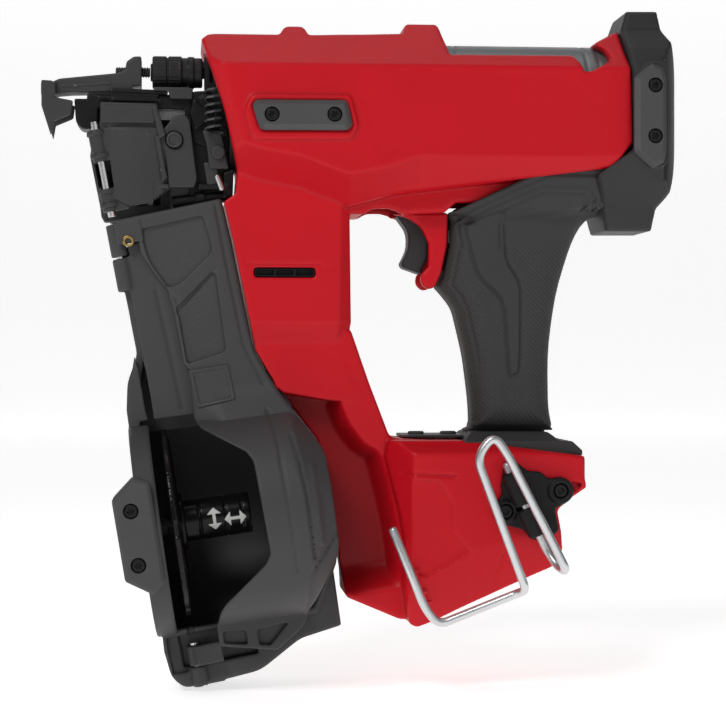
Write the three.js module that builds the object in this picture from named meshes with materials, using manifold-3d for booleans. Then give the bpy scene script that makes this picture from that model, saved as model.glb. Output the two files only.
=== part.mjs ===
// Coil roofing nailer driven by a gas spring and a battery motor, shown without its battery.
// Millimetres. +X runs to the rear along the drive axis, +Y to the tool's right side, +Z up.
// The origin is the centre of the hand grip.
import * as THREE from 'three';
import { mergeVertices } from 'three/addons/utils/BufferGeometryUtils.js';
import Module from 'manifold-3d';

const wasm = await Module();
wasm.setup();

// ---------------------------------------------------------------- driving dimensions
const GAP = 0.3; // clearance between neighbouring pieces
const WALL = 3; // housing wall
const DRIVE_Z = 107; // height of the drive axis
const BARREL_HALF = 42; // half width of the barrel
const COLUMN_HALF = 26; // half width of the motor column
const WEB_HALF = 21; // half width of the scooped web beside the canister
const FOOT_HALF = 38; // half width of the battery foot
const GRIP_HALF = 18; // half width of the hand grip
const SHOULDER_HALF = 32; // half width of the grip's rubber where it runs under the barrel
const CAP_HALF = 44; // half width of the rear cap
const KEEL_HALF = 22; // half width of the keel under the barrel
const PAD_THICKNESS = 4.7; // rubber bumper pads
const NOSE_TIP_X = -218; // muzzle of the nosepiece
const CHANNEL_HALF = 5.3; // half width of the nail channel in the nose
const FEED_BACK_Y = 3; // back wall of the feed track
const SPLIT_Y = -16; // plane where cover and canister meet
const RESERVOIR_R = 35.5; // gas reservoir outer radius
const RESERVOIR_FRONT_X = -45;
const RESERVOIR_REAR_X = 47;
const CYLINDER_R = 24; // drive cylinder outer radius
const CYLINDER_BORE_R = 20;
const CYLINDER_FRONT_X = -90;
const CYLINDER_REAR_X = 36;
const FRONT_BORE_R = 30; // housing bore around the nose flange
const MOTOR_X = -109; // motor and lifter axis
const MOTOR_R = 17;
const LIFTER_Y = 13.5; // lifter axis beside the driver blade
const LIFTER_R = 10.3;
const LIFTER_PINS = 7;
const CANISTER_R = 52; // nail canister outer radius
const CANISTER_WALL = 2.5;
const CANISTER_LEFT = -44; // canister end walls along its own axis
const CANISTER_RIGHT = 48.5;
const CANISTER_TILT = THREE.MathUtils.degToRad(8); // canister axis rises to the rear
const CANISTER_CENTRE = new THREE.Vector3(-140, -12, -93);
const HINGE_TILT = THREE.MathUtils.degToRad(10.8); // door and cover hinge line leans forward
const HINGE_POINT = new THREE.Vector3(-196.1, -14, 42.3);
const HINGE_PIN_R = 1.9;
const HINGE_BARREL_R = 4;
const PLATFORM_U = -27.3; // nail platform place along the canister axis
const PLATFORM_R = 46;
const POST_R = 10;
const WIRE_R = 2.1; // belt hook wire
const KNOB_Z = 127.6; // depth knob axis
const KNOB_R = 8.2;
const ROUND = 24; // sides of a large round piece
const SMALL_ROUND = 12; // sides of a small round piece

// ---------------------------------------------------------------- frames
function frame(point, tilt) {
  return new THREE.Matrix4().makeRotationY(-tilt).setPosition(point);
}
const toolFrame = new THREE.Matrix4();
const canisterFrame = frame(CANISTER_CENTRE, CANISTER_TILT); // local X = canister axis
const hingeFrame = frame(HINGE_POINT, HINGE_TILT); // local Z = hinge line

// ---------------------------------------------------------------- shape helpers
function outline(corners, rounding = 0) {
  const shape = new THREE.Shape();
  corners.forEach((corner, i) => {
    const point = new THREE.Vector2(corner[0], corner[1]);
    const r = corner[2] ?? rounding;
    const [before, after] = [corners.at(i - 1), corners[(i + 1) % corners.length]].map((other) => {
      const step = new THREE.Vector2(other[0], other[1]).sub(point);
      return step.setLength(Math.min(r, step.length() / 2.1)).add(point);
    });
    if (i === 0) shape.moveTo(before.x, before.y);
    else shape.lineTo(before.x, before.y);
    if (r > 0) shape.quadraticCurveTo(point.x, point.y, after.x, after.y);
  });
  shape.closePath();
  return shape;
}

function extruded(corners, depth, rounding) {
  const options = { depth, bevelEnabled: false, curveSegments: 3 };
  return new THREE.ExtrudeGeometry(outline(corners, rounding), options);
}

// An outline in X and Z, extruded along Y.
function sidePrism(corners, y0, y1, rounding) {
  return solid(extruded(corners, y1 - y0, rounding).rotateX(Math.PI / 2).translate(0, y1, 0));
}

// An outline in Y and Z, extruded along X.
function endPrism(corners, x0, x1, rounding) {
  const axes = new THREE.Matrix4().makeBasis(
    new THREE.Vector3(0, 1, 0),
    new THREE.Vector3(0, 0, 1),
    new THREE.Vector3(1, 0, 0),
  );
  return solid(extruded(corners, x1 - x0, rounding).applyMatrix4(axes).translate(x0, 0, 0));
}

function block(x0, x1, y0, y1, z0, z1) {
  const box = new THREE.BoxGeometry(x1 - x0, y1 - y0, z1 - z0);
  return solid(box.translate((x0 + x1) / 2, (y0 + y1) / 2, (z0 + z1) / 2));
}

function rodGeometry(from, to, radius, sides = ROUND) {
  const [start, end] = [new THREE.Vector3(...from), new THREE.Vector3(...to)];
  const direction = end.clone().sub(start);
  const turn = new THREE.Quaternion().setFromUnitVectors(
    new THREE.Vector3(0, 1, 0),
    direction.clone().normalize(),
  );
  const rod = new THREE.CylinderGeometry(radius, radius, direction.length(), sides);
  return rod.applyQuaternion(turn).translate(...start.add(end).divideScalar(2).toArray());
}

function rod(from, to, radius, sides) {
  return solid(rodGeometry(from, to, radius, sides));
}

// A turned piece about the X axis through (x0, y, z); the profile holds [radius, along] pairs.
function turnedX(profile, x0, y, z, sides = ROUND) {
  const points = profile.map(([r, along]) => new THREE.Vector2(r, along));
  return solid(new THREE.LatheGeometry(points, sides).rotateZ(-Math.PI / 2).translate(x0, y, z));
}

function turnedZ(profile, x, y, z0, sides = ROUND) {
  const points = profile.map(([r, along]) => new THREE.Vector2(r, along));
  return solid(new THREE.LatheGeometry(points, sides).rotateX(Math.PI / 2).translate(x, y, z0));
}

// A tube profile that closes on itself: a ring between two radii and two heights.
function ringProfile(inner, outer, low, high) {
  return [[inner, low], [outer, low], [outer, high], [inner, high], [inner, low]];
}

function tubeAlong(curve, radius, steps, sides = 8) {
  const circle = new THREE.Shape().absarc(0, 0, radius, 0, 2 * Math.PI);
  const options = { steps, extrudePath: curve, curveSegments: sides / 2, bevelEnabled: false };
  return solid(new THREE.ExtrudeGeometry(circle, options));
}

// ---------------------------------------------------------------- solids
function solid(geometry) {
  geometry.deleteAttribute('normal');
  geometry.deleteAttribute('uv');
  const merged = mergeVertices(geometry, 1e-4);
  const corners = merged.attributes.position.array;
  const index = Uint32Array.from(merged.index.array);
  if (signedVolume(corners, index) < 0) {
    for (let i = 0; i < index.length; i += 3) {
      [index[i + 1], index[i + 2]] = [index[i + 2], index[i + 1]];
    }
  }
  const mesh = new wasm.Mesh({ numProp: 3, vertProperties: Float32Array.from(corners), triVerts: index });
  return new wasm.Manifold(mesh);
}

function signedVolume(corners, index) {
  const point = (i) => new THREE.Vector3().fromArray(corners, 3 * index[i]);
  let volume = 0;
  for (let i = 0; i < index.length; i += 3) {
    volume += point(i).dot(point(i + 1).cross(point(i + 2)));
  }
  return volume;
}

const join = (...solids) => solids.reduce((whole, next) => whole.add(next));
const cut = (whole, ...tools) => tools.reduce((rest, tool) => rest.subtract(tool), whole);

function geometryOf(whole) {
  const mesh = whole.getMesh();
  const geometry = new THREE.BufferGeometry();
  geometry.setAttribute('position', new THREE.BufferAttribute(Float32Array.from(mesh.vertProperties), 3));
  geometry.setIndex(new THREE.BufferAttribute(Uint32Array.from(mesh.triVerts), 1));
  return geometry;
}

function moved(whole, matrix) {
  return solid(geometryOf(whole).applyMatrix4(matrix));
}

const mirror = (whole) => moved(whole, new THREE.Matrix4().makeScale(1, -1, 1));

// ---------------------------------------------------------------- materials
const finish = (color, roughness, metalness) => ({ color, roughness, metalness });
const RED = finish(0xcc1f2b, 0.42, 0);
const BLACK_PLASTIC = finish(0x3c3c3c, 0.6, 0);
const RUBBER = finish(0x454545, 0.8, 0);
const DARK_STEEL = finish(0x383838, 0.45, 0.8);
const BRIGHT_STEEL = finish(0xc4c6c8, 0.3, 1);
const ALUMINIUM = finish(0x8a8c8e, 0.4, 0.9);
const COPPER = finish(0x9a5c34, 0.4, 0.9);
const BOARD = finish(0x1d5a34, 0.6, 0);

const tool = new THREE.Group();

function assembly(matrix) {
  const group = new THREE.Group();
  group.applyMatrix4(matrix);
  group.updateMatrixWorld(true);
  tool.add(group);
  return group;
}

// Puts a solid given in the tool's own coordinates into an assembly as a named mesh.
function place(group, name, whole, look) {
  const geometry = geometryOf(whole).applyMatrix4(group.matrixWorld.clone().invert());
  const mesh = new THREE.Mesh(geometry, new THREE.MeshStandardMaterial(look));
  mesh.name = name;
  group.add(mesh);
}

const inCanister = (whole) => moved(whole, canisterFrame);
const inHinge = (whole) => moved(whole, hingeFrame);

// ---------------------------------------------------------------- housing
const BARREL_SIDE = [
  [-155.5, 141], [-152, 144.5, 3], [-117, 144.5], [-114, 149.6, 2], [-104.8, 149.6, 2], [-102.5, 144.5],
  [-56, 146], [-54, 152.2, 2], [-38, 152.2, 2], [-34.6, 140], [-34.6, 130], [43, 130], [47, 148],
  [52.2, 149.5],
  [52.2, 76], [-84, 60], [-141, 72, 6],
];
const BARREL_END = [
  [-14, 152.6], [14, 152.6], [30, 138, 8], [BARREL_HALF, 121, 8], [BARREL_HALF, 93, 8], [32, 74, 8],
  [KEEL_HALF, 62], [-KEEL_HALF, 62], [-32, 74, 8], [-BARREL_HALF, 93, 8], [-BARREL_HALF, 121, 8],
  [-30, 138, 8],
];
const KEEL = [[-84, 80], [-84, 58.5, 3], [-57, 57], [26, 59.3], [52.2, 59.3], [52.2, 80]];
const COLUMN = [
  [-141, 80], [-141, 60], [-121.5, -11], [-104, -31.5], [-96.5, -34.5], [-93.5, -52], [-64, -54],
  [-80.5, -17, 4],
  [-84.1, -7, 4], [-84.1, 80],
];
const WEB = [
  [-96.3, -34], [-94, -57], [-89.2, -93], [-87.4, -106], [-83.7, -131.8], [-81.9, -143], [-56, -138.2],
  [-45, -120], [-52, -56.5], [-66, -56.5], [-82, -20],
];
const FOOT = [
  [-64.5, -53.8, 2], [-27.5, -53.8], [31.3, -62.3, 3], [31.8, -78, 2], [17.5, -88.5], [19.2, -95],
  [17, -116.2, 2], [-42.8, -142.4], [-50.5, -145.7, 2], [-55.5, -139, 2], [-52, -126], [-55, -98],
  [-62, -70],
];
const GUARD_STRIP = [
  [-53, 60], [-45.4, 50.8], [-42.8, 43.4], [-43.3, 35.5], [-47.1, 24.8, 2], [-40.7, 21.3, 2], [-36, 30],
  [-33.6, 40], [-33, 60],
];
const GUARD_INNER_Y = 8.6;
const GUARD_OUTER_Y = 14;

// Space inside the closed housing for the drive unit, motor, board and switch.
function housingCavity() {
  const column = [
    [-134, 84], [-137, 60], [-118, -10], [-102, -30], [-93, -36], [-90, -48], [-70, -50], [-86, -9],
    [-87.2, 0],
    [-87.2, 84],
  ];
  const web = [[-93, -36], [-90, -57], [-85.8, -93], [-84, -106], [-80.5, -132], [-60, -134], [-48, -120],
    [-55, -60], [-76, -36]];
  const foot = [
    [-61, -57], [-28, -57], [28, -65], [28, -76], [14, -86.5], [16, -95.5], [14, -114], [-42, -138.5],
    [-51, -135], [-49, -126], [-52, -98], [-59, -70],
  ];
  return join(
    rod([-170, 0, DRIVE_Z], [CYLINDER_FRONT_X - 4, 0, DRIVE_Z], FRONT_BORE_R),
    rod([-100, 0, DRIVE_Z], [RESERVOIR_FRONT_X - 6, 0, DRIVE_Z], 32),
    rod([-52, 0, DRIVE_Z], [60, 0, DRIVE_Z], RESERVOIR_R + GAP),
    sidePrism(column, -COLUMN_HALF + WALL, COLUMN_HALF - WALL),
    sidePrism(web, -WEB_HALF + WALL, WEB_HALF - WALL),
    sidePrism(foot, -FOOT_HALF + WALL, FOOT_HALF - WALL),
    block(-80, 49, -KEEL_HALF + WALL, KEEL_HALF - WALL, 62, 84),
    block(-61, -32, -GUARD_INNER_Y, GUARD_INNER_Y, 50, 66),
  );
}

function housingHalf() {
  const profile = sidePrism(BARREL_SIDE, -BARREL_HALF, BARREL_HALF);
  const barrel = profile.intersect(endPrism(BARREL_END, -160, 60));
  const shell = join(
    barrel,
    sidePrism(KEEL, -KEEL_HALF, KEEL_HALF),
    sidePrism(COLUMN, -COLUMN_HALF, COLUMN_HALF),
    sidePrism(WEB, -WEB_HALF, WEB_HALF),
    sidePrism(FOOT, -FOOT_HALF, FOOT_HALF),
    sidePrism(GUARD_STRIP, -GUARD_OUTER_Y, -GUARD_INNER_Y),
  );
  const vent = block(-130, -99, -COLUMN_HALF - 1, -COLUMN_HALF + WALL + 1, 26.5, 29.5);
  const otherSide = block(-300, 200, -GAP / 2, 100, -300, 300);
  return cut(shell, housingCavity(), gripEnvelope(GAP), vent, otherSide);
}

// ---------------------------------------------------------------- hand grip
const GRIP_SIDE = [
  [-33, 50], [-32.2, 40], [-33.5, 33], [-38.5, 21.6, 2], [-32.4, 5.1, 8], [-24.3, -20, 10], [-20.6, -36, 6],
  [-20.3, -48, 3], [-24.6, -55], [33.5, -59], [30.6, -56, 2], [21.5, -55, 3], [19.4, -40, 5],
  [18.6, -10, 10],
  [14.3, 11.2, 10], [6.4, 36.3, 8], [6.6, 47, 6], [12.7, 55.5, 5], [24, 59.1, 3], [51.5, 59.3],
  [51.5, 84], [38.7, 77.7, 4], [14.5, 77.5, 6], [-33, 54],
];

// The outer shape of the closed grip, grown by a clearance all round its ends.
function gripEnvelope(clearance) {
  const upper = [[-33, 54], [14.5, 77.5, 6], [38.7, 77.7, 4], [53, 84.7], [53, 59.3], [24, 59.1],
    [5, 46], [-33, 44]];
  const grown = upper.map(([x, z, r]) => [x, z + clearance * (z > 60 ? 1 : 0), r]);
  const half = SHOULDER_HALF + clearance;
  return join(
    sidePrism(grown, -half, half),
    sidePrism([[-33.3, 66], [-33.3, 45], [0, 45], [0, 66]], -half, half),
  );
}

function gripHalf() {
  const section = [
    [-GRIP_HALF, -62], [GRIP_HALF, -62], [GRIP_HALF, 55], [SHOULDER_HALF, 66], [SHOULDER_HALF, 90],
    [-SHOULDER_HALF, 90], [-SHOULDER_HALF, 66], [-GRIP_HALF, 55],
  ];
  const handle = sidePrism(GRIP_SIDE, -34, 34).intersect(endPrism(section, -60, 60));
  const flare = sidePrism([[-22, -50], [20, -50], [33, -56.2], [33, -61.2], [-24.6, -55]], -21, 21);
  const hollow = join(
    sidePrism([[-35, 70], [-29, 26], [-26, 8], [-18, -22], [-14, -48], [13.5, -48], [10, 8], [2, 36],
      [6, 64]], -13, 13),
    sidePrism([[-35, 64], [52, 64], [52, 90], [0, 90], [-35, 64.5]], -KEEL_HALF + 2, KEEL_HALF - 2),
    rod([-60, 0, DRIVE_Z], [60, 0, DRIVE_Z], RESERVOIR_R + GAP),
    block(-45, -30, -GUARD_OUTER_Y - GAP, GUARD_OUTER_Y + GAP, 22, 60),
    sidePrism(FOOT.map(([x, z]) => [x, z + GAP]), -FOOT_HALF, FOOT_HALF),
  );
  return cut(join(handle, flare), hollow, block(-300, 200, -GAP / 2, 100, -300, 300));
}

// ---------------------------------------------------------------- rear cap
function rearCap() {
  const side = [
    [52.6, 149.6], [75, 149, 3], [80.8, 136.9, 6], [85, 116.7, 8], [85, 104, 8], [81.9, 78.7, 8],
    [76.7, 66, 5],
    [71, 58.4, 3], [52.6, 58.4],
  ];
  const end = [
    [-16, 150], [16, 150], [35, 139, 8], [CAP_HALF, 124, 6], [CAP_HALF, 86, 6], [33, 68, 8], [22, 58],
    [-22, 58], [-33, 68, 8], [-CAP_HALF, 86, 6], [-CAP_HALF, 124, 6], [-35, 139, 8],
  ];
  const body = sidePrism(side, -CAP_HALF, CAP_HALF).intersect(endPrism(end, 50, 90));
  const topLug = sidePrism([[53, 148], [55, 159.6, 2], [71, 159.6, 2], [75, 147]], -13, 13);
  const lowLug = sidePrism([[53, 60], [54, 48.7, 2], [70, 48.7, 2], [73, 60]], -13, 13);
  return cut(
    join(body, topLug, lowLug),
    rod([50, 0, DRIVE_Z], [78, 0, DRIVE_Z], 35),
    block(50, 70, -18, 18, 63, 84),
  );
}

// ---------------------------------------------------------------- pads and screws
const BODY_PAD = [[-131.2, 107.1, 2], [-129.3, 109.3, 2], [-85.7, 109.6, 2], [-82.9, 98.1],
  [-84.8, 95.2, 2], [-127.4, 95]];
const BODY_PAD_SCREWS = [[-121.7, 102.4], [-91.7, 102.6]];
const CAP_PAD = [
  [52.8, 122.3], [62.3, 129], [68.4, 126.8, 1], [69.6, 121], [69.6, 85], [68.4, 80.6, 1], [62.5, 77.6],
  [52.8, 85.5],
];
const CAP_PAD_SCREWS = [[63.7, 118.1], [63.7, 93.5]];
const SCREW_HEAD_R = 3.2;
const SCREW_SEAT_R = 3.6;

function bumperPad(corners, screws, face) {
  const plate = sidePrism(corners, face - PAD_THICKNESS, face - GAP);
  const seats = screws.flatMap(([x, z]) => [
    rod([x, face - PAD_THICKNESS - 1, z], [x, face - PAD_THICKNESS + 2.4, z], SCREW_SEAT_R, SMALL_ROUND),
    rod([x, face - PAD_THICKNESS, z], [x, face, z], 1.8, 8),
  ]);
  return cut(plate, ...seats);
}

// A socket-head screw whose head faces -Y and starts at height y.
function padScrew(x, y, z) {
  const head = rod([x, y, z], [x, y + 1.9, z], SCREW_HEAD_R, SMALL_ROUND);
  const shank = rod([x, y + 1, z], [x, y + 3.8, z], 1.5, 6);
  return cut(join(head, shank), rod([x, y - 1, z], [x, y + 1.2, z], 1.5, 6));
}

// ---------------------------------------------------------------- drive unit
function gasReservoir() {
  const wall = 3.5;
  const length = RESERVOIR_REAR_X - RESERVOIR_FRONT_X;
  const mouth = CYLINDER_R + GAP;
  return turnedX(
    [
      [mouth, 0], [RESERVOIR_R - 2, 0], [RESERVOIR_R, 2], [RESERVOIR_R, length - 12],
      [RESERVOIR_R - 6, length - 3],
      [18, length + 4], [0, length + 6], [0, length + 2], [17, length], [RESERVOIR_R - wall, length - 10],
      [RESERVOIR_R - wall, 5], [mouth, 5], [mouth, 0],
    ],
    RESERVOIR_FRONT_X, 0, DRIVE_Z,
  );
}

function driveCylinder() {
  const length = CYLINDER_REAR_X - CYLINDER_FRONT_X;
  return turnedX(
    [
      [7, 0], [29.5, 0], [29.5, 4], [CYLINDER_R, 4], [CYLINDER_R, length], [CYLINDER_BORE_R, length],
      [CYLINDER_BORE_R, 4], [7, 4], [7, 0],
    ],
    CYLINDER_FRONT_X, 0, DRIVE_Z,
  );
}

const bumper = () => turnedX(ringProfile(7, 19.5, 0, 10), CYLINDER_FRONT_X + 4 + GAP, 0, DRIVE_Z);
const PISTON_X = CYLINDER_FRONT_X + 15;
const PISTON_LENGTH = 13;

function piston() {
  const profile = [
    [0, 0], [19.5, 0], [19.5, 4], [17, 4], [17, 8], [19.5, 8], [19.5, PISTON_LENGTH], [12, PISTON_LENGTH],
    [12, PISTON_LENGTH - 4], [0, PISTON_LENGTH - 4],
  ];
  return turnedX(profile, PISTON_X, 0, DRIVE_Z);
}

const pistonSeal = () => turnedX(ringProfile(17.3, 19.7, 4.4, 7.6), PISTON_X, 0, DRIVE_Z);
const BLADE_TIP_X = -204;

function driverBlade() {
  const blade = block(BLADE_TIP_X, PISTON_X - GAP, -1.6, 1.6, DRIVE_Z - 3, DRIVE_Z + 3);
  const lugs = Array.from({ length: LIFTER_PINS }, (_, i) => {
    const x = -176 + i * 9.4;
    return block(x, x + 3.5, 1, 2.7, DRIVE_Z - 2.6, DRIVE_Z + 2.6);
  });
  return join(blade, ...lugs);
}

function lifterWheel() {
  const hub = rod([MOTOR_X, LIFTER_Y, 95], [MOTOR_X, LIFTER_Y, 114], 4, SMALL_ROUND);
  const discs = [[101, 103], [111, 113]].map(([z0, z1]) =>
    rod([MOTOR_X, LIFTER_Y, z0], [MOTOR_X, LIFTER_Y, z1], LIFTER_R, 20));
  const pins = Array.from({ length: LIFTER_PINS }, (_, i) => {
    const angle = (i / (LIFTER_PINS + 1)) * 2 * Math.PI;
    const [x, y] = [MOTOR_X + 8.4 * Math.cos(angle), LIFTER_Y + 8.4 * Math.sin(angle)];
    return rod([x, y, 102], [x, y, 112], 1.6, 8);
  });
  return join(hub, ...discs, ...pins);
}

function gearboxCase() {
  return turnedZ(
    [[0, 0], [MOTOR_R, 0], [MOTOR_R, 18], [MOTOR_R + 2, 18], [MOTOR_R + 2, 22], [MOTOR_R, 22],
    [MOTOR_R, 32], [0, 32]],
    MOTOR_X, 0, 62.3,
  );
}

function motorCan() {
  return turnedZ(
    [[4, 0], [MOTOR_R, 0], [MOTOR_R, 40], [MOTOR_R - 2, 40], [MOTOR_R - 2, 3], [4, 3], [4, 0]],
    MOTOR_X, 0, 21,
  );
}

function motorRotor() {
  const core = rod([MOTOR_X, 0, 27], [MOTOR_X, 0, 55], 12.5, 20);
  return join(core, rod([MOTOR_X, 0, 17], [MOTOR_X, 0, 61.5], 3, SMALL_ROUND));
}

// ---------------------------------------------------------------- nose
const NOSE_TOP_Z = 114.5;

function nosepiece() {
  const barrelFace = rod([-140, 0, DRIVE_Z], [-134, 0, DRIVE_Z], FRONT_BORE_R - 0.5);
  const neck = block(-160, -137, -11, 13, 92, 117);
  const muzzle = join(block(NOSE_TIP_X, -158, -9, 9, 99, NOSE_TOP_Z), block(-212, -158, -9, 12, 96, 108));
  const channel = block(-230, -130, -CHANNEL_HALF, CHANNEL_HALF, 102.5, 112);
  const loading = block(-205.5, -163, -20, 2.6, 90, 112);
  const strip = block(-205.5, -163, -CHANNEL_HALF, CHANNEL_HALF, 90, 105);
  const yokePath = block(-170, -120, -10.5, 10.5, 117.4, 145);
  const hole = rod([-150, 0, DRIVE_Z], [-120, 0, DRIVE_Z], 8, SMALL_ROUND);
  return cut(join(barrelFace, neck, muzzle), channel, loading, strip, yokePath, hole);
}

// Track that guides the nails up behind the door, with the hinge lugs on its front edge.
function feedHousing() {
  const plate = sidePrism([[-207, 95], [-161, 95], [-161, 91], [-156.5, 56], [-199, 56]], FEED_BACK_Y, 13);
  const slot = block(-187, -175, FEED_BACK_Y - 1, 20, 62, 90);
  const cylinder = rod([-181, 17, 60], [-181, 17, 92], 7.5, 20);
  const lug = inHinge(join(
    rod([0, 0, 27], [0, 0, 40], HINGE_BARREL_R, SMALL_ROUND),
    block(-HINGE_BARREL_R, 3, 1, 18, 27, 40),
  ));
  const bore = inHinge(rod([0, 0, 0], [0, 0, 70], HINGE_PIN_R + GAP, SMALL_ROUND));
  const pawlBore = rod([-181, 17, 50], [-181, 17, 88], 4.5, SMALL_ROUND);
  return cut(join(plate, cylinder, lug), slot, bore, pawlBore);
}

function feedPawl() {
  const stem = rod([-181, 17, 56], [-181, 17, 76], 4, SMALL_ROUND);
  const carrier = block(-186.2, -175.8, 6, 16, 66, 72);
  const finger = sidePrism([[-186, 66], [-176, 66], [-176, 70], [-186, 76]], FEED_BACK_Y - 1.2, 8);
  return join(stem, carrier, finger);
}

function noseDoor() {
  const plate = sidePrism(
    [[-204.5, 111.5, 2], [-178, 113.6, 3], [-168, 107.6], [-160.5, 106, 2], [-156.8, 76, 2],
    [-158, 60.5], [-194, 57]],
    -16.8, -11.6,
  );
  const barrels = inHinge(join(
    rod([0, 0, 15.5], [0, 0, 26.7], HINGE_BARREL_R, SMALL_ROUND),
    rod([0, 0, 40.3], [0, 0, 56], HINGE_BARREL_R, SMALL_ROUND),
    block(0, 9, -2.8, 2.2, 15.5, 26.7),
    block(0, 9, -2.8, 2.2, 40.3, 56),
  ));
  const clearance = inHinge(join(
    rod([0, 0, 26.7], [0, 0, 40.3], 5, SMALL_ROUND),
    block(-6, 1, -6, 6, 26.7, 40.3),
    block(-20, -HINGE_BARREL_R - 0.1, -6, 6, -10, 90),
    rod([0, 0, 0], [0, 0, 80], HINGE_PIN_R + GAP, SMALL_ROUND),
  ));
  const buttonHole = rod([-168.3, -30, 92.6], [-168.3, 0, 92.6], 4.4, SMALL_ROUND);
  return cut(join(plate, barrels), clearance, buttonHole);
}

function latchButton() {
  const button = rod([-168.3, -20, 92.6], [-168.3, -11.9, 92.6], 4, SMALL_ROUND);
  return join(button, rod([-168.3, -12, 92.6], [-168.3, -9.6, 92.6], 2.2, 8));
}

function contactYoke() {
  const body = block(-153.5, -139, -8.5, 8.5, 118, 135);
  return cut(body, rod([-170, 0, KNOB_Z], [-120, 0, KNOB_Z], 3.4, SMALL_ROUND));
}

function contactArm() {
  const top = sidePrism([[-233.7, 120.7], [-233.7, 115.2], [-188.4, 115.6], [-184.4, 119.5],
    [-184.4, 135.6, 1.5],
    [-191, 135.6, 1.5], [-192.5, 127.6], [-197.4, 126]], -8, 8);
  const claw = endPrism([[-12, 121], [-12, 99], [-8, 96.6], [8, 96.6], [12, 99], [12, 121]],
    -233.7, -229.5);
  const nailPath = block(-240, -225, -6.5, 6.5, 101, 114);
  return cut(join(top, claw), nailPath, rod([-200, 0, KNOB_Z], [-170, 0, KNOB_Z], 2.9, SMALL_ROUND));
}

const depthScrew = () => rod([-197.4, 0, KNOB_Z], [-180.2, 0, KNOB_Z], 2.5, SMALL_ROUND);

function depthKnob() {
  return turnedX(
    [[0, 0], [KNOB_R, 0], [KNOB_R, 15], [KNOB_R - 0.8, 15.6], [KNOB_R - 0.8, 25.6], [3, 25.6], [3, 40],
    [0, 40]],
    -179.8, 0, KNOB_Z, 20,
  );
}

function coilSpring(centreX, y, z0, z1, radius, wire, turns) {
  const points = Array.from({ length: turns * 8 + 1 }, (_, i) => {
    const angle = (i / 8) * 2 * Math.PI;
    const z = z0 + ((z1 - z0) * i) / (turns * 8);
    return new THREE.Vector3(centreX + radius * Math.cos(angle), y + radius * Math.sin(angle), z);
  });
  return tubeAlong(new THREE.CatmullRomCurve3(points), wire, turns * 8, 6);
}

// ---------------------------------------------------------------- canister and cover
const CHANNEL_SIDE = [
  [-38.6, 133], [-35.6, 91.3], [-41.3, 72.1], [-43.6, 56], [-43.6, 30], [40, 30], [38.5, 52], [23, 79],
  [13.8, 133],
];
const CHANNEL_HOLLOW = [
  [-35.6, 140], [-32.6, 91], [-38.3, 71], [-40.6, 40], [36, 40], [35.5, 51.5], [20, 78], [10.8, 140],
];
const COVER_SIDE = [
  [-27.5, 139], [-27.5, 55], [-11, 51.5], [10.7, 33.5], [15, 20], [15, -15], [11.8, -20], [-8, -36],
  [-8, -47],
  [-14.5, -50], [-14.5, -58], [13, -66], [27.9, -55.8, 5], [47, -30, 8], [48.8, 0], [48.4, 29.6, 6],
  [40.8, 53.3, 6], [25.7, 79.1, 6],
  [16.5, 153, 2], [-38, 152], [-38, 146], [-30, 139],
];
const COVER_FRONT_Y = -8; // front face of the upper cover, from the canister's centre plane
const COVER_BACK_Y = SPLIT_Y - GAP - CANISTER_CENTRE.y;
const BODY_FRONT_Y = SPLIT_Y - CANISTER_CENTRE.y;
const FEED_BACK_LOCAL = FEED_BACK_Y - CANISTER_CENTRE.y;

const drum = (radius, u0, u1) => rod([u0, 0, 0], [u1, 0, 0], radius, 32);

function canisterBody() {
  const inner = CANISTER_R - CANISTER_WALL;
  const rear = cut(drum(CANISTER_R, CANISTER_LEFT, CANISTER_RIGHT), block(-60, 60, -80, BODY_FRONT_Y,
    -80, 80));
  const leftEnd = drum(CANISTER_R, CANISTER_LEFT, -34);
  const shelf = sidePrism(
    [[-41.1, -30], [-42, -66, 3], [-40, -77, 3], [-31.8, -80, 3], [3.6, -76], [25, -64], [44, -60],
    [44, -30]],
    BODY_FRONT_Y + 2, 40,
  );
  const channel = sidePrism(CHANNEL_SIDE, BODY_FRONT_Y, FEED_BACK_LOCAL + 3.5);
  const hollow = join(
    drum(inner, CANISTER_LEFT + CANISTER_WALL, CANISTER_RIGHT - CANISTER_WALL),
    sidePrism(CHANNEL_HOLLOW, -5, FEED_BACK_LOCAL),
  );
  const shaft = rod([CANISTER_LEFT + 1, 0, 2], [-14, 0, 2], 5, SMALL_ROUND);
  const local = join(cut(join(rear, leftEnd, shelf, channel), hollow), shaft);
  const lugs = inHinge(join(
    rod([0, 0, -24], [0, 0, -8], HINGE_BARREL_R, SMALL_ROUND),
    block(-HINGE_BARREL_R - 1, 0, 0, 8, -24, -8),
    rod([0, 0, -221], [0, 0, -211], HINGE_BARREL_R, SMALL_ROUND),
    block(-4, 12, 0, 14, -221, -211),
  ));
  const hingeRoom = inHinge(join(
    rod([0, 0, -300], [0, 0, 60], HINGE_PIN_R + GAP, SMALL_ROUND),
    rod([0, 0, -7.5], [0, 0, 20], HINGE_BARREL_R + 0.8, SMALL_ROUND),
    rod([0, 0, -210.8], [0, 0, -195], HINGE_BARREL_R + 0.8, SMALL_ROUND),
    block(-7, 30, -30, 4.6, -210.8, -195),
    block(-13, -5, -30, 2.4, -213, -195),
  ));
  return cut(join(inCanister(local), lugs), hingeRoom);
}

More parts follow.
